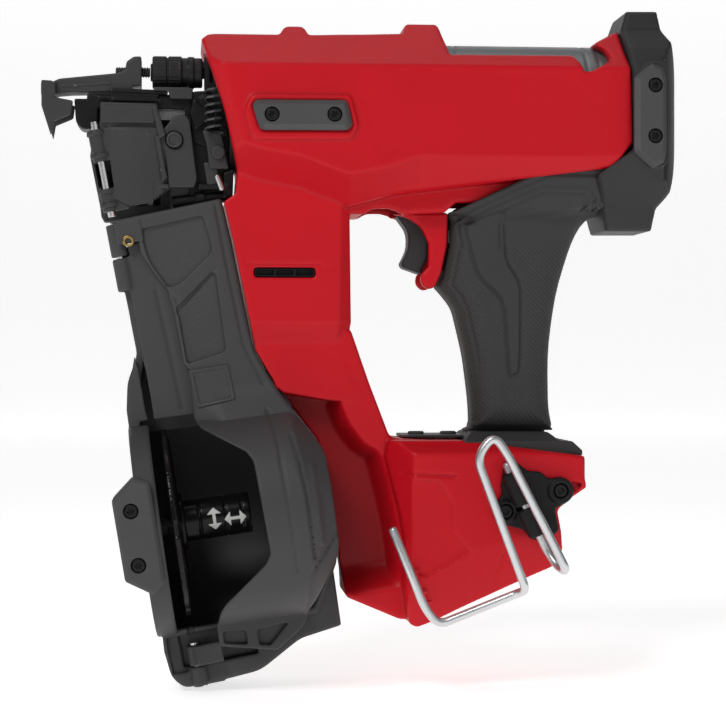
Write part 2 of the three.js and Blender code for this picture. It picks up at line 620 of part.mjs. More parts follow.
function canisterCover() {
  const inner = CANISTER_R - CANISTER_WALL;
  const front = cut(
    drum(CANISTER_R, -20, CANISTER_RIGHT),
    drum(inner, -30, CANISTER_RIGHT - CANISTER_WALL),
    block(-60, 60, COVER_BACK_Y, 80, -80, 80),
  ).intersect(sidePrism(COVER_SIDE, -80, 80));
  const upper = cut(
    sidePrism([[-27.5, 139], [-27.5, 55], [-11, 51.5], [10.7, 40], [40, 40], [46, 36], [40.8, 53.3, 6],
      [25.7, 79.1, 6],
      [16.5, 153, 2], [-38, 152], [-38, 146], [-30, 139]], COVER_FRONT_Y, COVER_BACK_Y),
    sidePrism([[-24, 138], [-24, 58], [38, 54], [22, 79], [13, 149], [-20, 149]], COVER_FRONT_Y + 3.5, 10),
    drum(inner, -60, CANISTER_RIGHT - CANISTER_WALL),
  );
  const lower = cut(
    sidePrism([[-28, -67], [-14.5, -46], [27.9, -52], [22, -62], [13, -69]], COVER_FRONT_Y, COVER_BACK_Y),
    drum(inner, -60, CANISTER_RIGHT - CANISTER_WALL),
  );
  const knuckles = inHinge(join(
    rod([0, 0, -7], [0, 0, 9], HINGE_BARREL_R, SMALL_ROUND),
    block(0, 12, -10, -1.5, -2, 9),
    rod([0, 0, -210.5], [0, 0, -200.5], HINGE_BARREL_R, SMALL_ROUND),
    block(0, 14, -10, -2.6, -210.5, -200.5),
  ));
  const pinRoom = inHinge(join(
    rod([0, 0, -260], [0, 0, 40], HINGE_PIN_R + GAP, SMALL_ROUND),
    block(-20, 0.2, -20, -HINGE_BARREL_R - 0.1, -300, 100),
  ));
  return cut(join(inCanister(join(front, upper, lower)), knuckles), pinRoom);
}

const EMBLEM = [[-13.6, 71], [6.6, 72.6], [8.4, 54], [-11.4, 52.6]];
const emblemPlate = () => inCanister(sidePrism(EMBLEM, COVER_FRONT_Y - 1.4, COVER_FRONT_Y - GAP));

function nailPlatform() {
  return inCanister(turnedX(ringProfile(POST_R + GAP, PLATFORM_R, 0, 3), PLATFORM_U - 1.5, 0, 2, 32));
}

function platformPost() {
  const start = PLATFORM_U - 2;
  const sleeve = turnedX(ringProfile(5.5, POST_R, 0, 9 - start), start, 0, 2, 20);
  const flange = turnedX(ringProfile(5.5, 14, 0, 2.5), PLATFORM_U + 1.8, 0, 2, 20);
  const endCap = rod([7, 0, 2], [9.4, 0, 2], POST_R, 20);
  return inCanister(join(sleeve, flange, endCap));
}

const MAGAZINE_PAD = [[-55, 20.6], [-43.8, 29.8], [-36.3, 27], [-35.4, -21.6], [-41.6, -27], [-54, -18.5]];
const MAGAZINE_PAD_SCREWS = [[-46.8, 14.3], [-46.8, -11.2]];
const MAGAZINE_PAD_Y = -54.5;

function magazinePad() {
  const plate = sidePrism(MAGAZINE_PAD, MAGAZINE_PAD_Y, MAGAZINE_PAD_Y + 22);
  const seats = MAGAZINE_PAD_SCREWS.flatMap(([u, w]) => [
    rod([u, MAGAZINE_PAD_Y - 1, w], [u, MAGAZINE_PAD_Y + 2.4, w], SCREW_SEAT_R, SMALL_ROUND),
    rod([u, MAGAZINE_PAD_Y, w], [u, MAGAZINE_PAD_Y + 8, w], 1.8, 8),
  ]);
  return inCanister(cut(plate, drum(CANISTER_R + GAP, CANISTER_LEFT - GAP, -30), ...seats));
}

// ---------------------------------------------------------------- belt hook
const HOOK_AXIS = [[-8.4, -44.5, -65.6], [9.2, -44.5, -103.3]];
const HOOK_SCREWS = [[18.3, -78.3], [-8.6, -88.2]];
const HOOK_ROUTE = [
  [-8.4, -44.5, -65.6], [11.2, -44.5, -107.6], [16.4, -50, -115.5], [18.1, -60, -115.6], [-10.7, -62, -60],
  [-17.4, -62, -50.5], [-25.6, -62, -61], [-1.6, -60, -124.4], [-4.3, -53, -126.5], [-42.5, -52, -141.5],
  [-49, -52, -133.5], [-64.4, -52, -95.9],
];

// Straight runs of wire joined by rounded bends.
function wirePath(corners, bend) {
  const points = corners.map((corner) => new THREE.Vector3(...corner));
  const path = new THREE.CurvePath();
  let from = points[0];
  for (let i = 1; i < points.length - 1; i += 1) {
    const [last, next] = [points[i - 1], points[i + 1]];
    const radius = Math.min(bend, last.distanceTo(points[i]) / 2.1, next.distanceTo(points[i]) / 2.1);
    const start = last.clone().sub(points[i]).setLength(radius).add(points[i]);
    const end = next.clone().sub(points[i]).setLength(radius).add(points[i]);
    path.add(new THREE.LineCurve3(from, start));
    path.add(new THREE.QuadraticBezierCurve3(start, points[i], end));
    from = end;
  }
  path.add(new THREE.LineCurve3(from, points.at(-1)));
  return new THREE.CatmullRomCurve3(path.getSpacedPoints(60));
}

const beltHook = () => tubeAlong(wirePath(HOOK_ROUTE, 8), WIRE_R, 60);

function hookBracket() {
  const plate = sidePrism(
    [[-15, -67], [-4, -60], [8, -66], [26, -72], [25, -84], [14, -92], [13, -104], [2, -102], [-14, -94]],
    -42, -FOOT_HALF - GAP, 2,
  );
  const barrel = rod(HOOK_AXIS[0], HOOK_AXIS[1], 5, SMALL_ROUND);
  const saddle = sidePrism([[-13, -66], [-4, -63], [13.5, -101.5], [4, -105]], -44.5, -41);
  const bore = rod([-10.5, -44.5, -61.1], [14, -44.5, -113.6], WIRE_R + GAP, SMALL_ROUND);
  const screws = HOOK_SCREWS.map(([x, z]) => rod([x, -60, z], [x, -41, z], SCREW_SEAT_R, SMALL_ROUND));
  const shanks = HOOK_SCREWS.map(([x, z]) => rod([x, -60, z], [x, -30, z], 1.8, 8));
  return cut(join(plate, barrel, saddle), bore, ...screws, ...shanks);
}

// ---------------------------------------------------------------- trigger and controls
const TRIGGER_PIVOT = [-45.5, 61];

function trigger() {
  const lever = sidePrism(
    [[-57.9, 56.6], [-52.4, 49.1, 3], [-51.9, 40.7, 5], [-55.9, 33], [-54.9, 31, 1], [-45.9, 27.8, 1],
    [-42.4, 35.8],
      [-41.9, 43.7], [-40, 56], [-40, 64], [-50, 64]],
    -GUARD_INNER_Y + 0.6, GUARD_INNER_Y - 0.6,
  );
  const pinHole = rod([TRIGGER_PIVOT[0], -12, TRIGGER_PIVOT[1]], [TRIGGER_PIVOT[0],
    12, TRIGGER_PIVOT[1]], 1.8, 10);
  return cut(lever, pinHole);
}

const triggerPin = () =>
  rod([TRIGGER_PIVOT[0], -8.2, TRIGGER_PIVOT[1]], [TRIGGER_PIVOT[0], 8.2, TRIGGER_PIVOT[1]], 1.5, 10);

const triggerSwitch = () => join(block(-28, -2, -9, 9, 40.6, 60), block(-31, -27.5, -3, 3, 44, 50));

const CONTROL_PAD = [[-56, -53.4], [-25.5, -53.4], [-25.5, -51.9, 0.6], [-56, -51.9, 0.6]];
const BUTTONS_X = [-48.3, -32.2];

function controlPad() {
  const holes = BUTTONS_X.map((x) => rod([x, -6, -60], [x, -6, -40], 4.5, SMALL_ROUND));
  return cut(sidePrism(CONTROL_PAD, -16, 16), ...holes);
}

const button = (x) => rod([x, -6, -52.6], [x, -6, -50.4], 4.1, SMALL_ROUND);

// ---------------------------------------------------------------- assembly
function buildHousing() {
  const group = assembly(toolFrame);
  const half = housingHalf();
  place(group, 'housing_left', half, RED);
  place(group, 'housing_right', mirror(half), RED);
  const grip = gripHalf();
  place(group, 'grip_left', grip, RUBBER);
  place(group, 'grip_right', mirror(grip), RUBBER);
  place(group, 'rear_cap', rearCap(), BLACK_PLASTIC);
  const bodyPad = bumperPad(BODY_PAD, BODY_PAD_SCREWS, -BARREL_HALF);
  const capPad = bumperPad(CAP_PAD, CAP_PAD_SCREWS, -CAP_HALF);
  place(group, 'body_pad_left', bodyPad, RUBBER);
  place(group, 'body_pad_right', mirror(bodyPad), RUBBER);
  place(group, 'cap_pad_left', capPad, RUBBER);
  place(group, 'cap_pad_right', mirror(capPad), RUBBER);
  BODY_PAD_SCREWS.forEach(([x, z], i) => {
    const screw = padScrew(x, -BARREL_HALF - PAD_THICKNESS + 0.4, z);
    place(group, `body_pad_screw_${['front', 'rear'][i]}`, screw, DARK_STEEL);
  });
  CAP_PAD_SCREWS.forEach(([x, z], i) => {
    const screw = padScrew(x, -CAP_HALF - PAD_THICKNESS + 0.4, z);
    place(group, `cap_pad_screw_${['upper', 'lower'][i]}`, screw, DARK_STEEL);
  });
}

function buildDrive() {
  const group = assembly(new THREE.Matrix4().makeTranslation(0, 0, DRIVE_Z));
  place(group, 'gas_reservoir', gasReservoir(), ALUMINIUM);
  place(group, 'drive_cylinder', driveCylinder(), ALUMINIUM);
  place(group, 'bumper', bumper(), RUBBER);
  place(group, 'piston', piston(), ALUMINIUM);
  place(group, 'piston_seal', pistonSeal(), RUBBER);
  place(group, 'driver_blade', driverBlade(), BRIGHT_STEEL);
  const motor = assembly(new THREE.Matrix4().makeTranslation(MOTOR_X, 0, 0));
  place(motor, 'lifter_wheel', lifterWheel(), BRIGHT_STEEL);
  place(motor, 'gearbox_case', gearboxCase(), DARK_STEEL);
  place(motor, 'motor_can', motorCan(), DARK_STEEL);
  place(motor, 'motor_rotor', motorRotor(), COPPER);
}

function buildNose() {
  const group = assembly(toolFrame);
  place(group, 'nosepiece', nosepiece(), DARK_STEEL);
  place(group, 'feed_housing', feedHousing(), DARK_STEEL);
  place(group, 'feed_pawl', feedPawl(), BRIGHT_STEEL);
  place(group, 'contact_yoke', contactYoke(), DARK_STEEL);
  place(group, 'contact_arm', contactArm(), DARK_STEEL);
  place(group, 'depth_screw', depthScrew(), DARK_STEEL);
  place(group, 'depth_knob', depthKnob(), BLACK_PLASTIC);
  const hinge = assembly(hingeFrame);
  place(hinge, 'nose_door', noseDoor(), DARK_STEEL);
  place(hinge, 'latch_button', latchButton(), BRIGHT_STEEL);
  place(hinge, 'nose_hinge_pin', inHinge(rod([0, 0, 13], [0, 0, 60],
    HINGE_PIN_R, SMALL_ROUND)), BRIGHT_STEEL);
  place(group, 'contact_spring', coilSpring(-149, -20, 96, 118, 4, 0.7, 6), BRIGHT_STEEL);
}

function buildMagazine() {
  const group = assembly(canisterFrame);
  place(group, 'magazine_body', canisterBody(), BLACK_PLASTIC);
  place(group, 'magazine_cover', canisterCover(), BLACK_PLASTIC);
  place(group, 'emblem_plate', emblemPlate(), BLACK_PLASTIC);
  place(group, 'nail_platform', nailPlatform(), BLACK_PLASTIC);
  place(group, 'platform_post', platformPost(), BLACK_PLASTIC);
  place(group, 'magazine_pad', magazinePad(), RUBBER);
  MAGAZINE_PAD_SCREWS.forEach(([u, w], i) => {
    const screw = inCanister(padScrew(u, MAGAZINE_PAD_Y + 0.4, w));
    place(group, `magazine_pad_screw_${['upper', 'lower'][i]}`, screw, DARK_STEEL);
  });
  const hinge = assembly(hingeFrame);
  place(hinge, 'cover_pin_upper', inHinge(rod([0, 0, -22], [0, 0, 10.5],
    HINGE_PIN_R, SMALL_ROUND)), BRIGHT_STEEL);
  place(hinge, 'cover_pin_lower', inHinge(rod([0, 0, -220], [0, 0, -199.5],
    HINGE_PIN_R, SMALL_ROUND)), BRIGHT_STEEL);
}

function buildFoot() {
  const group = assembly(toolFrame);
  place(group, 'belt_hook', beltHook(), BRIGHT_STEEL);
  place(group, 'hook_bracket', hookBracket(), BLACK_PLASTIC);
  HOOK_SCREWS.forEach(([x, z], i) => {
    place(group, `hook_screw_${['rear', 'front'][i]}`, padScrew(x, -43.2, z), DARK_STEEL);
  });
  place(group, 'control_board', block(-40, 8, -24, 24, -84, -81.5), BOARD);
  const terminals = sidePrism([[-30, -131.5], [4, -116.2], [8, -104], [-34, -122]], -14, 14);
  place(group, 'terminal_block', terminals, BLACK_PLASTIC);
  place(group, 'control_pad', controlPad(), BLACK_PLASTIC);
  place(group, 'mode_button', button(BUTTONS_X[0]), BLACK_PLASTIC);
  place(group, 'power_button', button(BUTTONS_X[1]), BLACK_PLASTIC);
}

function buildTrigger() {
  const group = assembly(toolFrame);
  place(group, 'trigger', trigger(), BLACK_PLASTIC);
  place(group, 'trigger_pin', triggerPin(), BRIGHT_STEEL);
  place(group, 'trigger_switch', triggerSwitch(), BLACK_PLASTIC);
}

buildHousing();
buildDrive();
buildNose();
buildMagazine();
buildFoot();
buildTrigger();

export default tool;
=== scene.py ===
"""Coil roofing nailer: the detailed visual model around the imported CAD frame.

Every shape is given in millimetres in the tool's own frame and is made in metres. Moulded and cast pieces
are written as distance fields, below zero inside the piece, and turned into closed meshes.
"""
import math

import bpy
import numpy as np
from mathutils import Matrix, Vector


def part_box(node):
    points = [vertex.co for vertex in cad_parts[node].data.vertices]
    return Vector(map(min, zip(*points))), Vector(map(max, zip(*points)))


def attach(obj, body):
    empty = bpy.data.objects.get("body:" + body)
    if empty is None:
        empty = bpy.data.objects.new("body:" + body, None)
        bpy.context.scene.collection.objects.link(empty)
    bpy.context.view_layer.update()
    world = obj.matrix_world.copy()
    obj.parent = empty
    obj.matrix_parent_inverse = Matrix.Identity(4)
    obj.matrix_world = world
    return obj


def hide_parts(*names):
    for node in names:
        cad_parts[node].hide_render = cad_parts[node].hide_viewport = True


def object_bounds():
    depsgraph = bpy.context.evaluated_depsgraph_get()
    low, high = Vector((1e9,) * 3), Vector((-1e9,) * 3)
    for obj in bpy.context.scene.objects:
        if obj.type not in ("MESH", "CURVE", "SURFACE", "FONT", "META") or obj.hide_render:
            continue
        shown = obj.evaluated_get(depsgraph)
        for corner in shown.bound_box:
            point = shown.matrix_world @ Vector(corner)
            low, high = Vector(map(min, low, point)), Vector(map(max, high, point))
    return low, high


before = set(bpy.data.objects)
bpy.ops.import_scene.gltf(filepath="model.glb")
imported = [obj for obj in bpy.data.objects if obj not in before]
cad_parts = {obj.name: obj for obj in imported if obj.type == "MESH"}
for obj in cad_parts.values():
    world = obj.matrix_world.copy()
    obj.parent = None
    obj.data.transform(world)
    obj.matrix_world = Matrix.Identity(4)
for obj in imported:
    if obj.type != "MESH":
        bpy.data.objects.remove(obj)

CAD_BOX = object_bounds()
MM = 0.001
COARSER = 1.0

# ---------------------------------------------------------------- driving dimensions
DRIVE_Z = 107.0
BARREL_HALF = 42.0
COLUMN_HALF = 26.0
FOOT_HALF = 38.0
SCOOP_HALF = 7.0
GRIP_HALF = 18.0
CAP_HALF = 44.0
SPLIT = 0.15
RESERVOIR_R = 35.5
CANISTER = np.array([-140.0, -12.0, -93.0])
CANISTER_TILT = math.radians(8.0)
CANISTER_R = 52.0
CANISTER_WALL = 2.5
HINGE = np.array([-196.1, -14.0, 42.3])
HINGE_TILT = math.radians(10.8)
HINGE_R = 4.0
PIN_R = 1.9
KNOB_Z = 127.6
WIRE_R = 2.1
POST_W = 2.0            # height of the post's axis in the canister's own frame
SCREW_R = 3.1
SCREW_STEP = 0.26       # grid step of the screws and other smallest pieces
SCREW_ROOM = 3.5        # half width of the grid round a screw
COUNTERBORE_R = 3.6     # the pads' holes round their screws
BUTTON_Y = -6.0
LATCH_X, LATCH_Z = -168.3, 92.6


# ---------------------------------------------------------------- distance fields
def bent(corners, rounding=0.0, steps=4):
    """Outline points; a corner is (a, b) or (a, b, radius)."""
    points = []
    for i, corner in enumerate(corners):
        here = np.array(corner[:2], float)
        radius = corner[2] if len(corner) > 2 else rounding
        if radius <= 0:
            points.append(here)
            continue
        ends = []
        for other in (corners[i - 1], corners[(i + 1) % len(corners)]):
            way = np.array(other[:2], float) - here
            length = np.linalg.norm(way)
            ends.append(here + way * min(radius / length, 0.48))
        for t in np.linspace(0, 1, steps):
            points.append((1 - t) ** 2 * ends[0] + 2 * t * (1 - t) * here + t * t * ends[1])
    return np.array(points)


def flat(a, b, corners, rounding=0.0):
    """Signed distance to a closed outline in a plane."""
    points = bent(corners, rounding)
    shape = np.broadcast(a, b).shape
    nearest = np.full(shape, 1e9)
    inside = np.zeros(shape, bool)
    for (a0, b0), (a1, b1) in zip(points, np.roll(points, -1, 0)):
        ea, eb = a1 - a0, b1 - b0
        wa, wb = a - a0, b - b0
        t = np.clip((wa * ea + wb * eb) / (ea * ea + eb * eb + 1e-12), 0, 1)
        nearest = np.minimum(nearest, (wa - ea * t) ** 2 + (wb - eb * t) ** 2)
        if b0 != b1:
            inside ^= ((b0 <= b) != (b1 <= b)) & (a < a0 + (b - b0) * ea / eb)
    distance = np.sqrt(nearest)
    return np.where(inside, -distance, distance)


def line(a, b, points):
    """Distance to an open line of points in a plane."""
    nearest = 1e9
    for (a0, b0), (a1, b1) in zip(points, points[1:]):
        ea, eb = a1 - a0, b1 - b0
        wa, wb = a - a0, b - b0
        t = np.clip((wa * ea + wb * eb) / (ea * ea + eb * eb), 0, 1)
        nearest = np.minimum(nearest, (wa - ea * t) ** 2 + (wb - eb * t) ** 2)
    return np.sqrt(nearest)


def both(a, b, r=0.6):
    """The space inside both fields, with the edge between them rounded to radius r."""
    corner = np.hypot(np.maximum(a + r, 0), np.maximum(b + r, 0))
    return np.minimum(np.maximum(a, b), -r) + corner


def bevelled(a, b, width):
    """The space inside both fields, with a flat bevel of that width on each."""
    return np.maximum(np.maximum(a, b), (a + b + width) * math.sqrt(0.5))


def either(a, b, r=0.0):
    """The space inside either field, with a fillet of radius r between them."""
    if r <= 0:
        return np.minimum(a, b)
    return -both(-a, -b, r)


def union(*fields):
    whole = fields[0]
    for field in fields[1:]:
        whole = np.minimum(whole, field)
    return whole


def without(whole, tool, r=0.0):
    return np.maximum(whole, -tool) if r <= 0 else both(whole, -tool, r)


def slab(value, low, high):
    return np.abs(value - (low + high) / 2) - (high - low) / 2


def box(x, y, z, low, high, r=0.6):
    return both(both(slab(x, low[0], high[0]), slab(z, low[2], high[2]), r), slab(y, low[1], high[1]), r)


def rod(x, y, z, start, end, radius, r=0.3):
    start, end = np.array(start, float), np.array(end, float)
    length = np.linalg.norm(end - start)
    ax, ay, az = (end - start) / length
    px, py, pz = x - start[0], y - start[1], z - start[2]
    along = px * ax + py * ay + pz * az
    out = np.sqrt(np.maximum(px * px + py * py + pz * pz - along * along, 0))
    return both(out - radius, np.abs(along - length / 2) - length / 2, r)


def grooved(whole, distance, width, depth, where=1.0):
    """A soft groove of that width and depth along the places where distance is small."""
    return whole + depth * where * np.exp(-((distance / (0.55 * width)) ** 2))


def side(x, y, z, corners, low, high, r=0.6, rounding=0.0):
    """An outline in X and Z between two values of Y."""
    return both(flat(x, z, corners, rounding), slab(y, low, high), r)


def ramp(value, start, end):
    """0 at start, 1 at end, smooth between."""
    t = np.clip((value - start) / (end - start), 0, 1)
    return t * t * (3 - 2 * t)


# ---------------------------------------------------------------- meshes
def crossing_points(value, cells):
    """For each cell, the mean of the points where its edges cross the zero level."""
    total = np.zeros((len(cells), 3))
    count = np.zeros(len(cells))
    for axis in range(3):
        others = [i for i in range(3) if i != axis]
        for step in range(4):
            low = np.zeros(3, int)
            low[others[0]], low[others[1]] = step & 1, step >> 1
            high = low.copy()
            high[axis] = 1
            f0 = value[tuple((cells + low).T)]
            f1 = value[tuple((cells + high).T)]
            hit = (f0 < 0) != (f1 < 0)
            t = np.where(hit, f0 / np.where(hit, f0 - f1, 1), 0)
            total += hit[:, None] * (low + t[:, None] * (high - low))
            count += hit
    return cells + total / count[:, None]


def surface(field, low, high, step):
    """Points and faces of the closed surface where a field is zero, found on a grid of that step."""
    step *= COARSER
    axes = [np.arange(a - 2.13 * step, b + 3 * step, step) for a, b in zip(low, high)]
    x, y, z = axes[0][:, None, None], axes[1][None, :, None], axes[2][None, None, :]
    value = np.broadcast_to(field(x, y, z), [len(a) for a in axes]).astype(np.float32)
    inside = value < 0
    nx, ny, nz = (n - 1 for n in inside.shape)
    corners = sum(inside[i:nx + i, j:ny + j, k:nz + k].astype(np.int8)
                  for i in (0, 1) for j in (0, 1) for k in (0, 1))
    mixed = (corners > 0) & (corners < 8)
    cells = np.argwhere(mixed)
    number = np.full(mixed.shape, -1, np.int64)
    number[mixed] = np.arange(len(cells))
    points = crossing_points(value, cells) * step + [a[0] for a in axes]
    faces = []
    for axis in range(3):
        u, v = (axis + 1) % 3, (axis + 2) % 3
        first = np.take(inside, range(inside.shape[axis] - 1), axis)
        second = np.take(inside, range(1, inside.shape[axis]), axis)
        edges = np.argwhere(first != second)
        edges = edges[(edges[:, u] > 0) & (edges[:, v] > 0)]
        ring = []
        for du, dv in ((0, 0), (1, 0), (1, 1), (0, 1)):
            back = np.zeros(3, int)
            back[u], back[v] = du, dv
            ring.append(number[tuple((edges - back).T)])
        quads = np.stack(ring, 1)
        turned = ~first[tuple(edges.T)]
        quads[turned] = quads[turned][:, ::-1]
        faces.append(quads)
    faces = np.concatenate(faces)
    faces = faces[(faces >= 0).all(1)]
    return settled(field, points, step), faces


def settled(field, points, step):
    """Moves each point onto the zero level of the field."""
    start = points.copy()
    reach = 0.1 * step
    for _ in range(2):
        x, y, z = points.T
        here = field(x, y, z)
        slope = np.stack([
            field(x + reach, y, z) - here, field(x, y + reach, z) - here, field(x, y, z + reach) - here,
        ], 1) / reach
        size = np.maximum((slope ** 2).sum(1), 0.05)
        points = points - np.clip(here, -step, step)[:, None] * slope / size[:, None]
    off = points - start
    far = np.maximum(np.linalg.norm(off, axis=1) / (0.7 * step), 1)
    return start + off / far[:, None]


def made(name, points, faces, material, body, replaces=(), masks=None):
    """A mesh object in the row frame, from points in millimetres and faces of three or four corners."""
    mesh = bpy.data.meshes.new(name + "_look")
    faces = np.asarray(faces)
    mesh.vertices.add(len(points))
    mesh.vertices.foreach_set("co", (np.asarray(points) * MM).astype(np.float32).ravel())
    mesh.loops.add(faces.size)
    mesh.loops.foreach_set("vertex_index", faces.astype(np.int32).ravel())
    mesh.polygons.add(len(faces))
    mesh.polygons.foreach_set("loop_start", np.arange(0, faces.size, faces.shape[1], dtype=np.int32))
    mesh.polygons.foreach_set("use_smooth", np.ones(len(faces), bool))
    mesh.update(calc_edges=True)
    mesh.validate()
    for mask, values in (masks or {}).items():
        mesh.attributes.new(mask, "FLOAT", "POINT").data.foreach_set("value", values.astype(np.float32))
    mesh.materials.append(material)
    piece = bpy.data.objects.new(name + "_look", mesh)
    bpy.context.scene.collection.objects.link(piece)
    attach(piece, body)
    if replaces:
        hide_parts(*replaces)
    return piece


def tilted(points, origin, angle):
    """Points given in a frame tilted about Y, in the tool's frame."""
    c, s = math.cos(angle), math.sin(angle)
    x, y, z = np.asarray(points).T
    return np.stack([x * c - z * s, y, x * s + z * c], 1) + origin


def untilted(x, y, z, origin, angle):
    """Coordinates of the tool's frame, in a frame tilted about Y."""
    c, s = math.cos(angle), math.sin(angle)
    dx, dz = x - origin[0], z - origin[2]
    return dx * c + dz * s, y - origin[1], -dx * s + dz * c


def in_hinge(x, y, z):
    """Coordinates along the hinge line, whose Z runs up the pin, and the distance from the pin's axis."""
    a, b, c = untilted(x, y, z, HINGE, HINGE_TILT)
    return a, b, c, np.sqrt(a * a + b * b)


def around(y, z, height):
    """Distance from the line along X at that height."""
    return np.sqrt(y * y + (z - height) ** 2)


def sculpt(name, field, low, high, step, material, body, replaces=None, frame_of=None, mask=None,
           mirror=None):
    """A piece from a field. mirror names a second piece, its mirror image across the tool's middle plane."""
    points, faces = surface(field, low, high, step)
    masks = {key: rule(*points.T) for key, rule in (mask or {}).items()}
    if frame_of:
        points = tilted(points, *frame_of)
    piece = made(name, points, faces, material, body, [name] if replaces is None else replaces, masks)
    if mirror:
        made(mirror, points * [1, -1, 1], faces[:, ::-1], material, body, [mirror], masks)
    return piece


# ---------------------------------------------------------------- materials
def finish(name, colour, rough, metal=0.0, grain=(900, 0.00006), mottle=0.06, wear=0.25, dots=None,
           specular=0.22, worn=(0.6, 0.6, 0.6), rough_spread=0.12, painted_shade=None):
    """A procedural surface: mottled colour, uneven roughness, moulded grain and lighter worn edges.

    grain is (scale per metre, height in metres). dots is (mask attribute, pitch in metres, height in metres)
    for a moulded pattern of small pyramids where the mask is 1. The last argument is the share of the colour
    left where the mesh's attribute of the same name is 1: painted shade for the depths of a recess. The
    colour also darkens in creases and hollows, where the mesh's pointiness is low: painted shade as well.
    """
    material = bpy.data.materials.new(name)
    material.use_nodes = True
    tree = material.node_tree
    nodes, links = tree.nodes, tree.links
    shader = nodes["Principled BSDF"]
    shader.inputs["Metallic"].default_value = metal
    shader.inputs["Specular IOR Level"].default_value = specular
    place = nodes.new("ShaderNodeTexCoord").outputs["Object"]

    def noise(scale, detail, rough_detail=0.55):
        node = nodes.new("ShaderNodeTexNoise")
        node.inputs["Scale"].default_value = scale
        node.inputs["Detail"].default_value = detail
        node.inputs["Roughness"].default_value = rough_detail
        links.new(place, node.inputs["Vector"])
        return node.outputs["Fac"]

    def mathed(kind, a, b=None, c=None):
        node = nodes.new("ShaderNodeMath")
        node.operation = kind
        for socket, value in zip(node.inputs, (a, b, c)):
            if value is None:
                continue
            if isinstance(value, (int, float)):
                socket.default_value = value
            else:
                links.new(value, socket)
        return node.outputs[0]

    def ranged(value, start, end, top):
        """0 at start and top at end."""
        node = nodes.new("ShaderNodeMapRange")
        for key, number in (("From Min", start), ("From Max", end), ("To Max", top)):
            node.inputs[key].default_value = number
        links.new(value, node.inputs["Value"])
        return node.outputs["Result"]

    def mixed(share, first, second):
        node = nodes.new("ShaderNodeMix")
        node.data_type = "RGBA"
        links.new(share, node.inputs["Factor"])
        for key, value in (("A", first), ("B", second)):
            socket = [s for s in node.inputs if s.name == key and s.type == "RGBA"][0]
            if isinstance(value, tuple):
                socket.default_value = (*value, 1)
            else:
                links.new(value, socket)
        return [s for s in node.outputs if s.type == "RGBA"][0]

    dark = tuple(c * (1 - mottle) for c in colour)
    light = tuple(min(1, c * (1 + mottle)) for c in colour)
    broad = noise(38, 3)
    base = mixed(broad, dark, light)
    edges = nodes.new("ShaderNodeNewGeometry").outputs["Pointiness"]
    ragged = mathed("MULTIPLY_ADD", noise(260, 4), 0.06, edges)
    rubbed = ranged(ragged, 0.575, 0.66, wear)
    worn_colour = tuple(c + (w - c) * 0.5 for c, w in zip(colour, worn))
    base = mixed(rubbed, base, worn_colour)
    # Painted shade: the colour darkens towards 0.3 of itself in creases and hollows, where the mesh's
    # pointiness is low.
    painted_crease_shade = ranged(edges, 0.488, 0.41, 0.65)
    base = mixed(painted_crease_shade, base, tuple(c * 0.3 for c in colour))
    # Painted shade: where the mesh's shade attribute is 1 the colour drops to the given share of itself,
    # standing in for the shadow deep in a recess.
    if painted_shade:
        painted_shade_node = nodes.new("ShaderNodeAttribute")
        painted_shade_node.attribute_name = "painted_shade"
        base = mixed(painted_shade_node.outputs["Fac"], base, tuple(c * painted_shade for c in colour))
    links.new(base, shader.inputs["Base Color"])
    uneven = mathed("MULTIPLY_ADD", noise(120, 4), rough_spread, rough - rough_spread / 2)
    links.new(mathed("SUBTRACT", uneven, mathed("MULTIPLY", rubbed, 0.15)),
              shader.inputs["Roughness"])
    height = mathed("MULTIPLY", noise(grain[0], 3, 0.6), grain[1])
    if dots:
        mask_name, pitch, dot_height = dots
        mask = nodes.new("ShaderNodeAttribute")
        mask.attribute_name = mask_name
        split = nodes.new("ShaderNodeSeparateXYZ")
        links.new(place, split.inputs[0])
        turn = 2 * math.pi / pitch
        across = mathed("SINE", mathed("MULTIPLY", split.outputs["X"], turn))
        up = mathed("SINE", mathed("MULTIPLY", split.outputs["Z"], turn))
        bumps = mathed("MULTIPLY", mathed("MULTIPLY", across, up), dot_height)
        height = mathed("ADD", height, mathed("MULTIPLY", bumps, mask.outputs["Fac"]))
    bump = nodes.new("ShaderNodeBump")
    bump.inputs["Distance"].default_value = 1.0
    bump.inputs["Strength"].default_value = 1.0
    links.new(height, bump.inputs["Height"])
    links.new(bump.outputs["Normal"], shader.inputs["Normal"])
    return material


# The red keeps 0.42 of its colour where a piece asks for painted shade.
RED = finish("red_moulding", (0.56, 0.004, 0.012), 0.45, grain=(2600, 0.00003), mottle=0.05, wear=0.12,
             worn=(0.9, 0.25, 0.25), painted_shade=0.42)
RUBBER = finish("grip_rubber", (0.045, 0.045, 0.045), 0.62, grain=(2200, 0.00005), mottle=0.07, wear=0.15,
                worn=(0.2, 0.2, 0.2), dots=("dots", 0.0024, 0.00013))
PLASTIC = finish("black_moulding", (0.058, 0.058, 0.060), 0.5, grain=(2400, 0.00004), mottle=0.06, wear=0.25,
                 worn=(0.3, 0.3, 0.3), dots=("dots", 0.0017, 0.00010))
INNER_PLASTIC = finish("dark_moulding", (0.008, 0.008, 0.009), 0.5, grain=(2000, 0.00003), mottle=0.1,
                       wear=0.1, worn=(0.1, 0.1, 0.1))
CAP_PLASTIC = finish("cap_moulding", (0.034, 0.034, 0.035), 0.52, grain=(2400, 0.00004), mottle=0.06,
                     wear=0.25, worn=(0.3, 0.3, 0.3))
PAD = finish("pad_rubber", (0.070, 0.070, 0.071), 0.6, grain=(1800, 0.00006), mottle=0.08, wear=0.2,
             worn=(0.3, 0.3, 0.3))
CAST = finish("cast_steel", (0.052, 0.052, 0.054), 0.46, metal=0.25, grain=(1300, 0.00009), mottle=0.14,
              wear=0.5, worn=(0.5, 0.5, 0.5), rough_spread=0.2)
